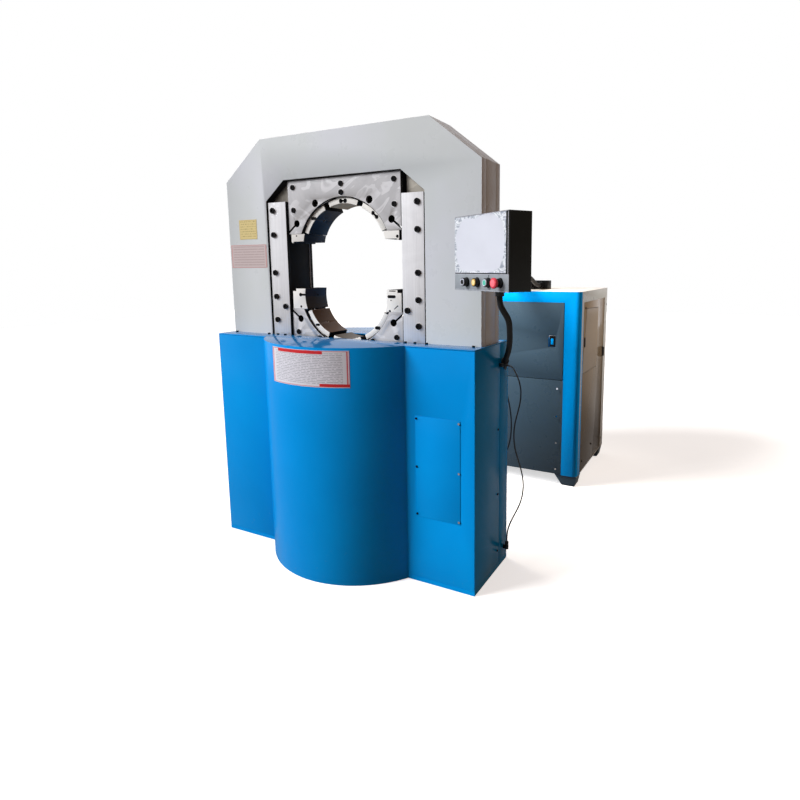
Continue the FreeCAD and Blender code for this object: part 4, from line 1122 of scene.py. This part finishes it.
@dataclass
class PressFrame(Assembly):
    """Grey O-frame with its window walls black, partly oily steel and partly painted shade, guides, rails,
    corner plates, bolts and labels.
    """

    edge: float = 0.002
    middle_edge: float = 0.0008
    guide_edge: float = 0.0012
    window_half: float = 0.47
    window_top: float = 1.9
    label_face: float = -0.0933
    label_back: float = -0.0926

    def build(self) -> None:
        """Build every piece of the frame."""
        for node in ("frame_front_plate", "frame_middle_plate", "frame_rear_plate"):
            edge = self.middle_edge if "middle" in node else self.edge
            # The window's walls are painted black: partly oily steel, partly painted shade in the recess.
            self.paint(self.dress_node(node, edge, "root", "frame_grey_enamel", "grey_paint"), "joint_and_gap_shade_black",
                       self.in_window)
        # Side faces of the rails and corner plates are painted black as painted shade in the gaps between
        # parts.
        for node, finish in (("guide_rails", "rail_steel"), ("corner_plates", "corner_steel")):
            self.paint(self.dress_node(node, self.guide_edge, "root", finish, "machined_steel"),
                       "joint_and_gap_shade_black", edgewise)
        self.dress_node("guide_blocks", self.edge, "root", "guide_steel", "dark_steel")
        self.dress_bolts("frame_bolts", "root", "frame_bolt")
        for name, finish, left, right, low, high in (
                ("yellow_label", "yellow_plate", -0.659, -0.535, 1.591, 1.691),
                ("pale_label", "red_rimmed_plate", -0.728, -0.474, 1.443, 1.563)):
            plate = block(name, (left, self.label_face, low), (right, self.label_back, high), 0.0002)
            lay_uv(plate, Axis.X, Axis.Z)
            self.dress(plate, "root", finish, slot="grey_paint")
        for node, finish in (("cylinder_barrel", "barrel_steel"), ("cylinder_gland", "barrel_steel"),
                             ("rod_seal", "rubber_black"), ("ram_piston", "chromed_steel"),
                             ("ram_plate", "holder_steel")):
            self.keep(node, finish)

    def in_window(self, face: Face) -> bool:
        """Whether a face is part of the window's wall."""
        return edgewise(face) and abs(face.center.x) < self.window_half and face.center.z < self.window_top


@dataclass
class DieRing(Assembly):
    """Die holders and master dies: bright faces, dark bores, and the screws and keys that hold them."""

    edge: float = 0.001
    die_face: float = -0.0632
    side_face: float = -0.0752
    brown_line: float = 1.297
    middle_reach: float = 0.02
    least_rise: float = 0.1
    bore_screw_height: float = 1.303
    bore_screw_radius: float = 0.006

    def build(self) -> None:
        """Build the holders, their bolts, the dies and their small parts."""
        # Side faces of the holders are painted black as painted shade in the gaps between parts.
        for node, body in (("upper_die_holder", "root"), ("upper_holder_plates", "root"),
                           ("lower_die_holder", "ram"), ("lower_holder_plates", "ram")):
            self.paint(self.dress_node(node, self.edge, body, "holder_steel", "machined_steel"),
                       "joint_and_gap_shade_black", edgewise)
        self.dress_bolts("lower_holder_bolts", "ram", "lower_bolt")
        for node, bore in (("top_die", "tan_steel"), ("upper_left_die", "blued_steel"),
                           ("upper_right_die", "blued_steel"), ("bottom_die", "low_tan_steel"),
                           ("lower_left_die", "browned_steel"), ("lower_right_die", "browned_steel"),
                           ("upper_left_side_die", "blued_steel"), ("upper_right_side_die", "blued_steel"),
                           ("lower_left_side_die", "side_blued_steel"),
                           ("lower_right_side_die", "side_blued_steel")):
            self.die(node, bore)
        self.inlays()
        self.bore_screws()

    @staticmethod
    def body_of(node: str) -> str:
        """The body that a die rides on."""
        return {"top_die": "root", "bottom_die": "ram"}.get(node, node)

    def die(self, node: str, bore: str) -> None:
        """One die: bright ends, its own bore finish, and sides painted black as painted shade between the
        dies.

        Args:
            node: The die's CAD node.
            bore: The finish of the face that looks at the crimp axis.
        """
        piece = self.dress_node(node, self.edge, self.body_of(node), "die_front_steel", "die_steel")
        low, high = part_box(node)
        across = -(low.x + high.x)
        if abs(across) < self.middle_reach:
            across = 0.0
        rise = math.copysign(max(abs(across), self.least_rise), CRIMP_HEIGHT - (low.z + high.z) / 2)
        inward = Vector((across, 0.0, 0.0 if "side" in node else rise)).normalized()

        def in_bore(face: Face) -> bool:
            """Whether a face looks at the crimp axis."""
            return edgewise(face) and face.normal.dot(inward) > 0.8

        # Sides painted black: painted shade between the dies.
        self.paint(piece, "joint_and_gap_shade_black", edgewise)
        self.paint(piece, bore, in_bore)
        if node.startswith("lower") and "side" in node:
            self.paint(piece, "dull_browned_steel",
                       lambda face: in_bore(face) and face.center.z < self.brown_line)

    def inlays(self) -> None:
        """Screws, keys and pins let into the dies' bright ends.

        Each mark has its X and Z, half its straight run, its radius and its turn in degrees.
        """
        plan = {
            "top_die": [(-0.013, 1.757, 0.0, 0.0105, 0), (0.013, 1.757, 0.0, 0.0105, 0),
                        (0.0, 1.757, 0.012, 0.004, 0)],
            "upper_left_die": [(-0.181, 1.682, 0.009, 0.0075, 0)],
            "upper_right_die": [(0.171, 1.693, 0.0, 0.0095, 0), (0.191, 1.674, 0.0, 0.0095, 0),
                                (0.181, 1.6835, 0.008, 0.005, -44)],
            "lower_left_die": [(-0.182, 1.156, 0.007, 0.006, 0)],
            "lower_right_die": [(0.182, 1.156, 0.008, 0.008, 0)],
            "upper_left_side_die": [(-0.286, 1.6, 0.0, 0.004, 0)],
            "upper_right_side_die": [(0.309, 1.582, 0.0, 0.007, 0)],
            "lower_left_side_die": [(-0.276, 1.307, 0.0, 0.009, 0), (-0.2585, 1.307, 0.0125, 0.005, 0),
                                    (-0.275, 1.247, 0.0, 0.006, 0)],
            "lower_right_side_die": [(0.2715, 1.307, 0.0155, 0.007, 0), (0.276, 1.333, 0.016, 0.002, 0),
                                     (0.296, 1.258, 0.012, 0.002, 40), (0.26, 1.24, 0.0, 0.005, 0),
                                     (0.268, 1.29, 0.0, 0.003, 0)],
        }
        for node, marks in plan.items():
            back = self.side_face if "side" in node else self.die_face
            parts = [lozenge("inlay", (x, z), half, radius, angle, back)
                     for x, z, half, radius, angle in marks]
            self.dress(join(f"{node}_inlays", parts), self.body_of(node), "black_oxide")

    def bore_screws(self) -> None:
        """A screw head in the bore of each lower side die."""
        for node, inner in (("lower_left_side_die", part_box("lower_left_side_die")[1].x - 0.0004),
                            ("lower_right_side_die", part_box("lower_right_side_die")[0].x - 0.0006)):
            disc = drum(f"{node}_bore_screw", self.bore_screw_radius,
                        (inner, PRESS_MIDDLE, self.bore_screw_height), 0.001, Axis.X, 28)
            self.dress(smooth(bevel(disc, 0.0002, 1)), node, "black_oxide")


@dataclass
class ControlBox(Assembly):
    """Control box: housing, bezel, film-covered screen, buttons, hinge and arm."""

    corner: Point = (0.667, -0.2045, 1.3505)
    turn: float = math.radians(-31.5)
    width: float = 0.359
    height: float = 0.29
    strip: float = 0.065
    screen_low: tuple[float, float] = (0.002, 0.069)
    screen_high: tuple[float, float] = (0.343, 0.2865)
    button_line: float = 0.033
    first_button: float = 0.088
    button_step: float = 0.0737
    front: float = -0.0015
    sunk: float = 0.0004
    collar: tuple[float, float] = (0.0165, 0.0139)
    flange: tuple[float, float] = (0.0192, 0.0164)
    flange_height: float = 0.0022
    film_grid: tuple[int, int] = (90, 64)
    film_seed: int = 7
    creases: int = 34
    crease_height: float = 0.0007
    crease_sharpness: float = 50.0
    corner_reach: float = 0.3
    rim_sharpness: float = 22.0
    film_back: float = -0.0022
    film_thickness: float = 0.0018

    def in_place(self, piece: Piece, finish: str, body: str = "control_box", nodes: Sequence[str] = (),
                 slot: str = "box_black") -> Piece:
        """Move a piece from the box's own frame to the row's, and dress it."""
        piece.data.transform(Matrix.Translation(self.corner) @ Matrix.Rotation(self.turn, 4, "Z"))
        return self.dress(piece, body, finish, nodes, slot)

    def build(self) -> None:
        """Build the box and its arm."""
        for node, finish, edge in (("control_housing", "box_black", 0.009),
                                   ("control_panel", "box_black", 0.0005),
                                   ("button_strip", "strip_silver", 0.0004)):
            self.dress_node(node, edge, "control_box", finish, finish, 4)
        for node, body in (("box_hinge", "control_box"), ("arm_bracket", "root"), ("support_arm", "root")):
            self.dress_node(node, 0.001, body, "frame_grey_enamel", "grey_paint")
        self.film()
        self.trim()
        self.buttons()

    def film(self) -> None:
        """The wrinkled protective film over the screen."""
        deselect()
        columns, rows = self.film_grid
        bpy.ops.mesh.primitive_grid_add(x_subdivisions=columns, y_subdivisions=rows, size=1.0)
        piece = bpy.context.object
        piece.name = "screen_film_sheet"
        rng = random.Random(self.film_seed)
        folds = [(rng.uniform(0, 1), rng.uniform(0, 1), rng.uniform(0, math.pi))
                 for _ in range(self.creases)]
        (left, bottom), (right, top) = self.screen_low, self.screen_high
        for vert in piece.data.vertices:
            across, up = vert.co.x + 0.5, vert.co.y + 0.5
            inset = min(across, 1 - across), min(up, 1 - up)
            corner = max(0.0, 1 - math.hypot(*inset) / self.corner_reach)
            gaps = [abs((across - x) * math.sin(way) + (up - z) * math.cos(way)) for x, z, way in folds]
            height = sum(math.exp(-gap * self.crease_sharpness) for gap in gaps) * self.crease_height
            height *= max(corner, math.exp(-min(inset) * self.rim_sharpness))
            vert.co = (left + (right - left) * across, self.film_back - height, bottom + (top - bottom) * up)
        apply_modifier(piece, "SOLIDIFY", thickness=self.film_thickness, offset=-1.0)
        lay_uv(piece, Axis.X, Axis.Z)
        self.in_place(smooth(piece, SOFT_CORNER), "screen_film", nodes=["touch_screen"], slot="screen_film")

    def trim(self) -> None:
        """Silver bezel lines with painted highlights on the button strip's edges, a black block of painted
        shade over the strip, and its lock's dot.

        Each line has its left end, its right end's inset, its height off the panel, and its lower and
        upper edge.
        """
        back = self.front + self.sunk
        # The last two lines, on the button strip's top and bottom edges, are painted highlights.
        lines = ((self.width - 0.0056, 0.0034, 0.0012, 0.06, 0.287),
                 (0.004, 0.008, 0.001, self.height - 0.0026, self.height - 0.0012),
                 (0.002, 0.006, 0.0009, self.strip - 0.0022, self.strip - 0.0006),
                 (0.004, 0.006, 0.0009, 0.002, 0.0036))
        parts = [block("bezel", (left, back - proud, low), (self.width - inset, back, high))
                 for left, inset, proud, low, high in lines]
        self.in_place(join("bezel_and_highlight_lines", parts), "bezel_and_highlight_silver", slot="strip_silver")
        # A black block over the button strip: painted shade of the gap there.
        gap = block("strip_gap_shade", (0.002, back - 0.001, self.strip),
                    (self.width - 0.009, back, self.strip + 0.0022), 0.0002)
        self.in_place(gap, "joint_and_gap_shade_black")
        place = (self.first_button + self.button_step * 2 + 0.002, back - 0.0016, self.strip - 0.007)
        dot = smooth(bevel(drum("lock_dot", 0.0026, place, 0.0016, Axis.Y, 20), 0.0004))
        self.in_place(dot, "collar_black")

    def ring(self, name: str, outer: float, inner: float, centre: float, proud: float,
             length: float) -> Piece:
        """A ring round a button, from its outer end back towards the panel.

        Args:
            name: The piece's name.
            outer, inner: Its radii.
            centre: Its X along the panel.
            proud: How far its outer end stands off the panel.
            length: Its length.

        Returns:
            The ring.
        """
        start = self.front - proud
        piece = drum(name, outer, (centre, start, self.button_line), length, Axis.Y, 48)
        bore = drum("bore", inner, (centre, start - 0.01, self.button_line), length + 0.02, Axis.Y, 48)
        return smooth(bevel(carve(piece, bore), 0.0006))

    def disc(self, finish: str, radius: float, centre: float, proud: float, length: float,
             edge: float) -> Piece:
        """A round part of a button, whose outer end stands proud of the panel."""
        part = drum("part", radius, (centre, self.front - proud, self.button_line), length, Axis.Y, 44)
        return self.coat(smooth(bevel(part, edge, 3)), finish)

    def grip(self, finish: str, centre: float) -> Piece:
        """The bar across the selector knob."""
        return self.coat(block("grip", (centre - 0.0034, self.front - 0.0253, self.button_line - 0.0095),
                               (centre + 0.0034, self.front - 0.02, self.button_line + 0.0095), 0.0014),
                         finish)

    def buttons(self) -> None:
        """Collars and caps of the four controls.

        Each control has its body, the finishes of its ring and cap, its slot and its collar's length.
        """
        plan = (("selector_knob", "pale_ring", "collar_black", "box_black", 0.0215),
                ("yellow_button", "deep_yellow_plastic", "yellow_plastic", "yellow_plastic", 0.0172),
                ("green_button", "pale_ring", "green_plastic", "green_plastic", 0.0172),
                ("stop_button", "red_plastic", "red_plastic", "red_plastic", 0.0125))
        for index, (body, ring, cap, slot, collar) in enumerate(plan):
            x = self.first_button + self.button_step * index
            self.in_place(self.ring(f"{body}_collar", *self.collar, x, collar, collar), "collar_black")
            self.in_place(self.ring(f"{body}_flange", *self.flange, x, self.flange_height,
                                    self.flange_height), "joint_and_gap_shade_black")
            stem = self.disc("collar_black", 0.0108, x, 0.015, 0.038, 0.0004)
            if body == "stop_button":
                parts = [self.disc("collar_black", 0.0132, x, 0.024, 0.012, 0.0006),
                         self.disc(cap, 0.02, x, 0.0345, 0.0125, 0.0042),
                         self.disc("pale_red_plastic", 0.0135, x, 0.0352, 0.002, 0.0007)]
            elif body == "selector_knob":
                parts = [self.coat(self.ring("rim", 0.0135, 0.0104, x, 0.0235, 0.01), ring),
                         self.disc(cap, 0.0106, x, 0.0228, 0.01, 0.0006), self.grip(cap, x)]
            else:
                parts = [self.coat(self.ring("rim", 0.0128, 0.0098, x, 0.0204, 0.01), ring),
                         self.disc(cap, 0.01, x, 0.0198, 0.01, 0.0008)]
            self.in_place(join(f"{body}_cap", [*parts, stem]), cap, body, [body], slot)


@dataclass
class Cords(Assembly):
    """Conduit, cables and hoses along the routes of their solids."""

    conduit_route: Sequence[Point] = (
        (0.8768, -0.2392, 1.3285), (0.8768, -0.2392, 1.3), (0.884, -0.222, 1.272), (0.888, -0.186, 1.244),
        (0.884, -0.152, 1.218), (0.873, -0.118, 1.192), (0.861, -0.085, 1.167), (0.85, -0.052, 1.141),
        (0.837, -0.021, 1.116), (0.822, 0.013, 1.09), (0.804, 0.05, 1.064), (0.7845, 0.083, 1.0395),
        (0.766, 0.1125, 1.0135))
    side_route: Sequence[Point] = (
        (0.766, 0.084, 0.996), (0.784, 0.084, 0.996), (0.793, 0.098, 0.993), (0.791, 0.126, 0.985),
        (0.786, 0.164, 0.97), (0.779, 0.206, 0.948), (0.7755, 0.248, 0.918), (0.774, 0.284, 0.882),
        (0.775, 0.306, 0.84), (0.773, 0.313, 0.794), (0.769, 0.3, 0.748), (0.767, 0.268, 0.706),
        (0.7665, 0.238, 0.66), (0.77, 0.226, 0.606), (0.772, 0.24, 0.548), (0.776, 0.28, 0.48),
        (0.773, 0.332, 0.412), (0.77, 0.37, 0.352), (0.7725, 0.372, 0.3), (0.774, 0.346, 0.256),
        (0.774, 0.298, 0.226), (0.772, 0.238, 0.206), (0.771, 0.186, 0.188), (0.769, 0.158, 0.162),
        (0.768, 0.15, 0.132), (0.768, 0.15, 0.106))
    rear_route: Sequence[Point] = (
        (0.7, 0.2085, 0.9), (0.7, 0.234, 0.9), (0.702, 0.262, 0.87), (0.706, 0.288, 0.818),
        (0.71, 0.318, 0.758), (0.712, 0.338, 0.694), (0.713, 0.346, 0.626), (0.712, 0.334, 0.566),
        (0.709, 0.302, 0.52), (0.704, 0.264, 0.494), (0.7, 0.236, 0.485), (0.7, 0.2085, 0.485))
    hose_route: Sequence[Point] = (
        (0.4, 1.535, 1.313), (0.4, 1.48, 1.313), (0.398, 1.42, 1.34), (0.392, 1.35, 1.372),
        (0.384, 1.27, 1.38), (0.38, 1.18, 1.368), (0.382, 1.08, 1.348), (0.39, 0.97, 1.324),
        (0.401, 0.85, 1.301), (0.41, 0.73, 1.272), (0.42, 0.62, 1.245), (0.43, 0.525, 1.19),
        (0.436, 0.445, 1.105), (0.438, 0.385, 1.018), (0.438, 0.345, 0.957), (0.437, 0.305, 0.919),
        (0.436, 0.268, 0.9), (0.436, 0.2345, 0.9))
    hose_spacing: float = 0.064
    cable_radius: float = 0.0035
    hose_radius: float = 0.014
    conduit_radius: float = 0.0125
    ridge_pitch: float = 0.0046
    ridge_depth: float = 0.0013
    ridge_shape: Sequence[float] = (1.0, 0.5, 0.0, 0.5)
    still_point: int = 9
    sides: int = 24

    def build(self) -> None:
        """Build every cord."""
        self.conduit()
        self.cable("side_cable", self.side_route, self.cable_radius, 1.219)
        self.cable("rear_cable", self.rear_route, self.cable_radius, 0.544)
        self.cable("left_hose", self.hose_route, self.hose_radius, 1.476)
        right = [(x + self.hose_spacing, y, z) for x, y, z in self.hose_route]
        self.cable("right_hose", right, self.hose_radius, 1.476)
        for node, finish, slot in (("cable_glands", "collar_black", "box_black"),
                                   ("hose_fittings", "black_oxide", "black_oxide")):
            self.dress_node(node, 0.001, "root", finish, slot)

    @staticmethod
    def line(name: str, route: Sequence[Point], radius: float) -> Piece:
        """A smooth curve whose control points are the route.

        Args:
            name: The piece's name.
            route: The route's points.
            radius: The cord's radius, or 0 for the line alone.

        Returns:
            The curve.
        """
        data = bpy.data.curves.new(name, "CURVE")
        data.dimensions = "3D"
        spline = data.splines.new("NURBS")
        spline.points.add(len(route) - 1)
        for point, place in zip(spline.points, route):
            point.co = (*place, 1.0)
        spline.order_u = 3
        spline.use_endpoint_u = True
        spline.resolution_u = 12
        data.bevel_depth = radius
        data.bevel_resolution = 5
        data.use_fill_caps = True
        piece = bpy.data.objects.new(name, data)
        bpy.context.collection.objects.link(piece)
        return piece

    def cable(self, node: str, route: Sequence[Point], radius: float, length: float) -> None:
        """A plain round cord that stands for its CAD tube.

        Args:
            node: The tube's CAD node.
            route: The route's points.
            radius: The cord's radius.
            length: The cord's length; not used.
        """
        hose = radius == self.hose_radius
        piece = self.dress(self.line(node + "_line", route, radius), "root",
                           "rubber_black" if hose else "cable_black", [node],
                           "seal_rubber" if hose else "box_black")

    def conduit(self) -> None:
        """The corrugated conduit, as a mesh tube with real ridges."""
        guide = self.line("conduit_guide", self.conduit_route, 0.0)
        shape = bpy.data.meshes.new_from_object(guide)
        spaced = evenly([vert.co.copy() for vert in shape.vertices], self.ridge_pitch / 4)
        bpy.data.objects.remove(guide)
        mesh = bmesh.new()
        rings = []
        side = Vector((1.0, 0.0, 0.0))
        turns = [2 * math.pi * step / self.sides for step in range(self.sides)]
        for index, place in enumerate(spaced):
            ahead = spaced[min(len(spaced) - 1, index + 1)] - spaced[max(0, index - 1)]
            ahead.normalize()
            side = (side - ahead * side.dot(ahead)).normalized()
            other = ahead.cross(side)
            radius = self.conduit_radius - self.ridge_depth * self.ridge_shape[index % 4]
            rings.append([mesh.verts.new(place + (side * math.cos(turn) + other * math.sin(turn)) * radius)
                          for turn in turns])
        for first, second in zip(rings, rings[1:]):
            for step in range(self.sides):
                after = (step + 1) % self.sides
                mesh.faces.new((first[step], first[after], second[after], second[step]))
        mesh.faces.new(list(reversed(rings[0])))
        mesh.faces.new(rings[-1])
        data = bpy.data.meshes.new("conduit_tube")
        mesh.to_mesh(data)
        mesh.free()
        tube = bpy.data.objects.new("conduit_tube", data)
        bpy.context.collection.objects.link(tube)
        self.coat(smooth(tube, SOFT_CORNER), "rubber_black")
        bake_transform(tube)
        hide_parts("conduit")
        log.info("%s bends between root and control_box", tube.name)


def evenly(path: Sequence[Vector], step: float) -> list[Vector]:
    """Space points evenly along a line.

    Args:
        path: The line's points.
        step: The distance between the new points.

    Returns:
        The new points, with both ends.
    """
    made = [path[0].copy()]
    left = step
    for start, end in zip(path, path[1:]):
        run = (end - start).length
        while run >= left and run > 0:
            start = start + (end - start) * (left / run)
            made.append(start.copy())
            run -= left
            left = step
        left -= run
    made.append(path[-1].copy())
    return made


@dataclass
class HydraulicUnit(Assembly):
    """Blue frame with grey strips, slate door and panels, a side coloured umber as a painted reflection of a
    brown room, pull, tank, motor and pump.
    """

    side: float = 0.838
    front: float = 1.226
    foot_height: float = 0.066
    top_height: float = 1.2
    post_width: float = 0.104
    post_depth: float = 0.08
    hatch: Sequence[tuple[float, float]] = ((1.396, 1.167), (1.735, 1.154), (1.716, 0.737), (1.306, 0.746))
    side_screws: Sequence[tuple[float, float]] = ((1.358, 1.174), (1.995, 1.16), (1.37, 0.136),
                                                  (1.949, 0.141), (1.634, 0.182))
    panel_screws: Sequence[float] = (0.655, 0.47, 0.29, 0.11)
    panel_screw_line: float = 0.7
    panel_screw_radius: float = 0.006
    side_screw_radius: float = 0.007
    sunk: float = 0.0005
    plate_sunk: float = 0.0004

    def build(self) -> None:
        """Build every piece of the unit."""
        for node, edge, body, finish, slot in (
                ("unit_door", 0.001, "unit_door", "slate_enamel", "slate_paint"),
                ("unit_door_pull", 0.0008, "unit_door", "chromed_steel", "die_steel"),
                ("oil_tank", 0.004, "root", "tank_grey", "tank_paint"),
                ("pump_motor", 0.004, "root", "tank_grey", "tank_paint"),
                ("oil_pump", 0.004, "root", "pump_iron", "pump_iron")):
            self.dress_node(node, edge, body, finish, slot)
        self.frame_and_panels()
        self.side_parts()
        self.front_parts()

    def on_top(self, face: Face) -> bool:
        """Whether a face is part of the unit's top."""
        return looks_up(face) and face.center.z > self.top_height

    def in_blue(self, face: Face) -> bool:
        """Whether a face of the welded frame shows in front, where it is blue."""
        upright = face.center.x > self.side - self.post_width and abs(face.normal.z) < 0.5
        return face.center.y < self.front + self.post_depth and (face.normal.y < -0.4 or upright)

    def frame_and_panels(self) -> None:
        """The welded frame, blue in front and grey at the side, and the panels."""
        piece = self.dress_node("unit_frame", 0.004, "root", "strip_grey_enamel", "blue_paint")
        self.paint(piece, "unit_blue_enamel", self.in_blue)
        self.paint(piece, "pale_top_enamel", self.on_top)
        self.paint(piece, "slate_enamel", lambda face: face.center.z < self.foot_height)
        panels = self.dress_node("unit_panels", 0.0008, "root", "slate_enamel", "slate_paint")
        # The panels' side faces get umber, a painted reflection of a brown room.
        self.paint(panels, "umber_reflection_enamel",
                   lambda face: face.normal.x > 0.6 and face.center.x > self.side - 0.02)
        self.paint(panels, "pale_top_enamel", self.on_top)

    @staticmethod
    def side_surface() -> float:
        """The X of the side panel's face."""
        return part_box("unit_panels")[1].x

    def side_plate(self, name: str, grow: float, thickness: float, finish: str) -> None:
        """The hatch's outline on the side panel, as a thin plate.

        Args:
            name: The piece's name.
            grow: How far it reaches beyond the outline.
            thickness: Its height over the panel.
            finish: Its finish.
        """
        deselect()
        bpy.ops.mesh.primitive_cube_add(size=2.0)
        piece = settle(bpy.context.object)
        piece.name = name
        middle = sum((Vector(corner) for corner in self.hatch), Vector((0.0, 0.0))) / 4
        places = dict(zip(((-1, 1), (1, 1), (1, -1), (-1, -1)), self.hatch))
        for vert in piece.data.vertices:
            y, z = places[(round(vert.co.y), round(vert.co.z))]
            vert.co = (self.side_surface() + (thickness if vert.co.x > 0 else -self.plate_sunk),
                       y + math.copysign(grow, y - middle.x), z + math.copysign(grow, z - middle.y))
        self.dress(bevel(piece, 0.0003, 2), "root", finish, slot="slate_paint")

    def side_block(self, name: str, low: tuple[float, float], high: tuple[float, float], proud: float,
                   edge: float) -> Piece:
        """A block between two corners in Y and Z that stands proud of the side panel."""
        surface = self.side_surface()
        return block(name, (surface - self.sunk, *low), (surface + proud, *high), edge)

    def side_parts(self) -> None:
        """The hatch, handle, latch and screws of the side panel, whose umber is a painted reflection."""
        self.side_plate("side_hatch_seam", 0.003, 0.0003, "joint_and_gap_shade_black")
        # The hatch takes the side's umber, a painted reflection.
        self.side_plate("side_hatch", 0.0, 0.0009, "umber_reflection_enamel")
        handle = [self.side_block("handle", (1.905, 0.782), (1.927, 0.849), 0.012, 0.003),
                  self.side_block("handle", (1.901, 0.776), (1.931, 0.855), 0.003, 0.001)]
        latch = [self.side_block("latch", (1.34, 0.918), (1.358, 0.982), 0.006, 0.002)]
        for name, parts in (("side_handle", handle), ("side_latch", latch)):
            self.dress(smooth(join(name, parts)), "root", "rubber_black", slot="box_black")
        surface, radius = self.side_surface(), self.side_screw_radius
        screws = [socket_screw("screw", Vector((surface - self.plate_sunk, y - radius, z - radius)),
                               Vector((surface + 0.0035, y + radius, z + radius)), Axis.X)
                  for y, z in self.side_screws]
        self.dress(join("side_panel_screws", screws), "root", "black_oxide")

    def front_parts(self) -> None:
        """The blue middle of the door pull, and the screws down the lower panel's edge."""
        low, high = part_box("unit_door_pull")
        middle = block("pull_middle", (low.x + 0.018, low.y - 0.001, low.z + 0.018),
                       (high.x - 0.014, low.y + 0.001, high.z - 0.02), 0.0004)
        self.dress(smooth(middle), "unit_door", "unit_blue_enamel", slot="blue_paint")
        edge = block("pull_shade", (low.x + 0.008, low.y - 0.0006, low.z + 0.003),
                     (high.x - 0.001, low.y + 0.001, high.z - 0.003), 0.0004)
        self.dress(smooth(edge), "unit_door", "joint_and_gap_shade_black", slot="box_black")
        x, plane, radius = self.panel_screw_line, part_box("unit_door")[0].y, self.panel_screw_radius
        screws = []
        for index, z in enumerate(self.panel_screws):
            head = socket_screw("screw", Vector((x - radius, plane - 0.001, z - radius)),
                                Vector((x + radius, plane + 0.003, z + radius)), Axis.Y)
            screws.append(self.coat(head, "chromed_steel" if index else "pale_ring"))
        self.dress(join("lower_panel_screws", screws), "root", "chromed_steel", slot="die_steel")


def main() -> None:
    """Build the whole machine and its studio."""
    logging.basicConfig(level=logging.INFO)
    bpy.context.scene.view_settings.view_transform = "Standard"
    finishes = Finishes()
    Photographer().set_up()
    Studio().set_up()
    for assembly in (Cords(finishes), PaintedBase(finishes), PressFrame(finishes), DieRing(finishes),
                     ControlBox(finishes), HydraulicUnit(finishes)):
        assembly.build()
        log.info("%s built", type(assembly).__name__)


if __name__ == "__main__":
    main()
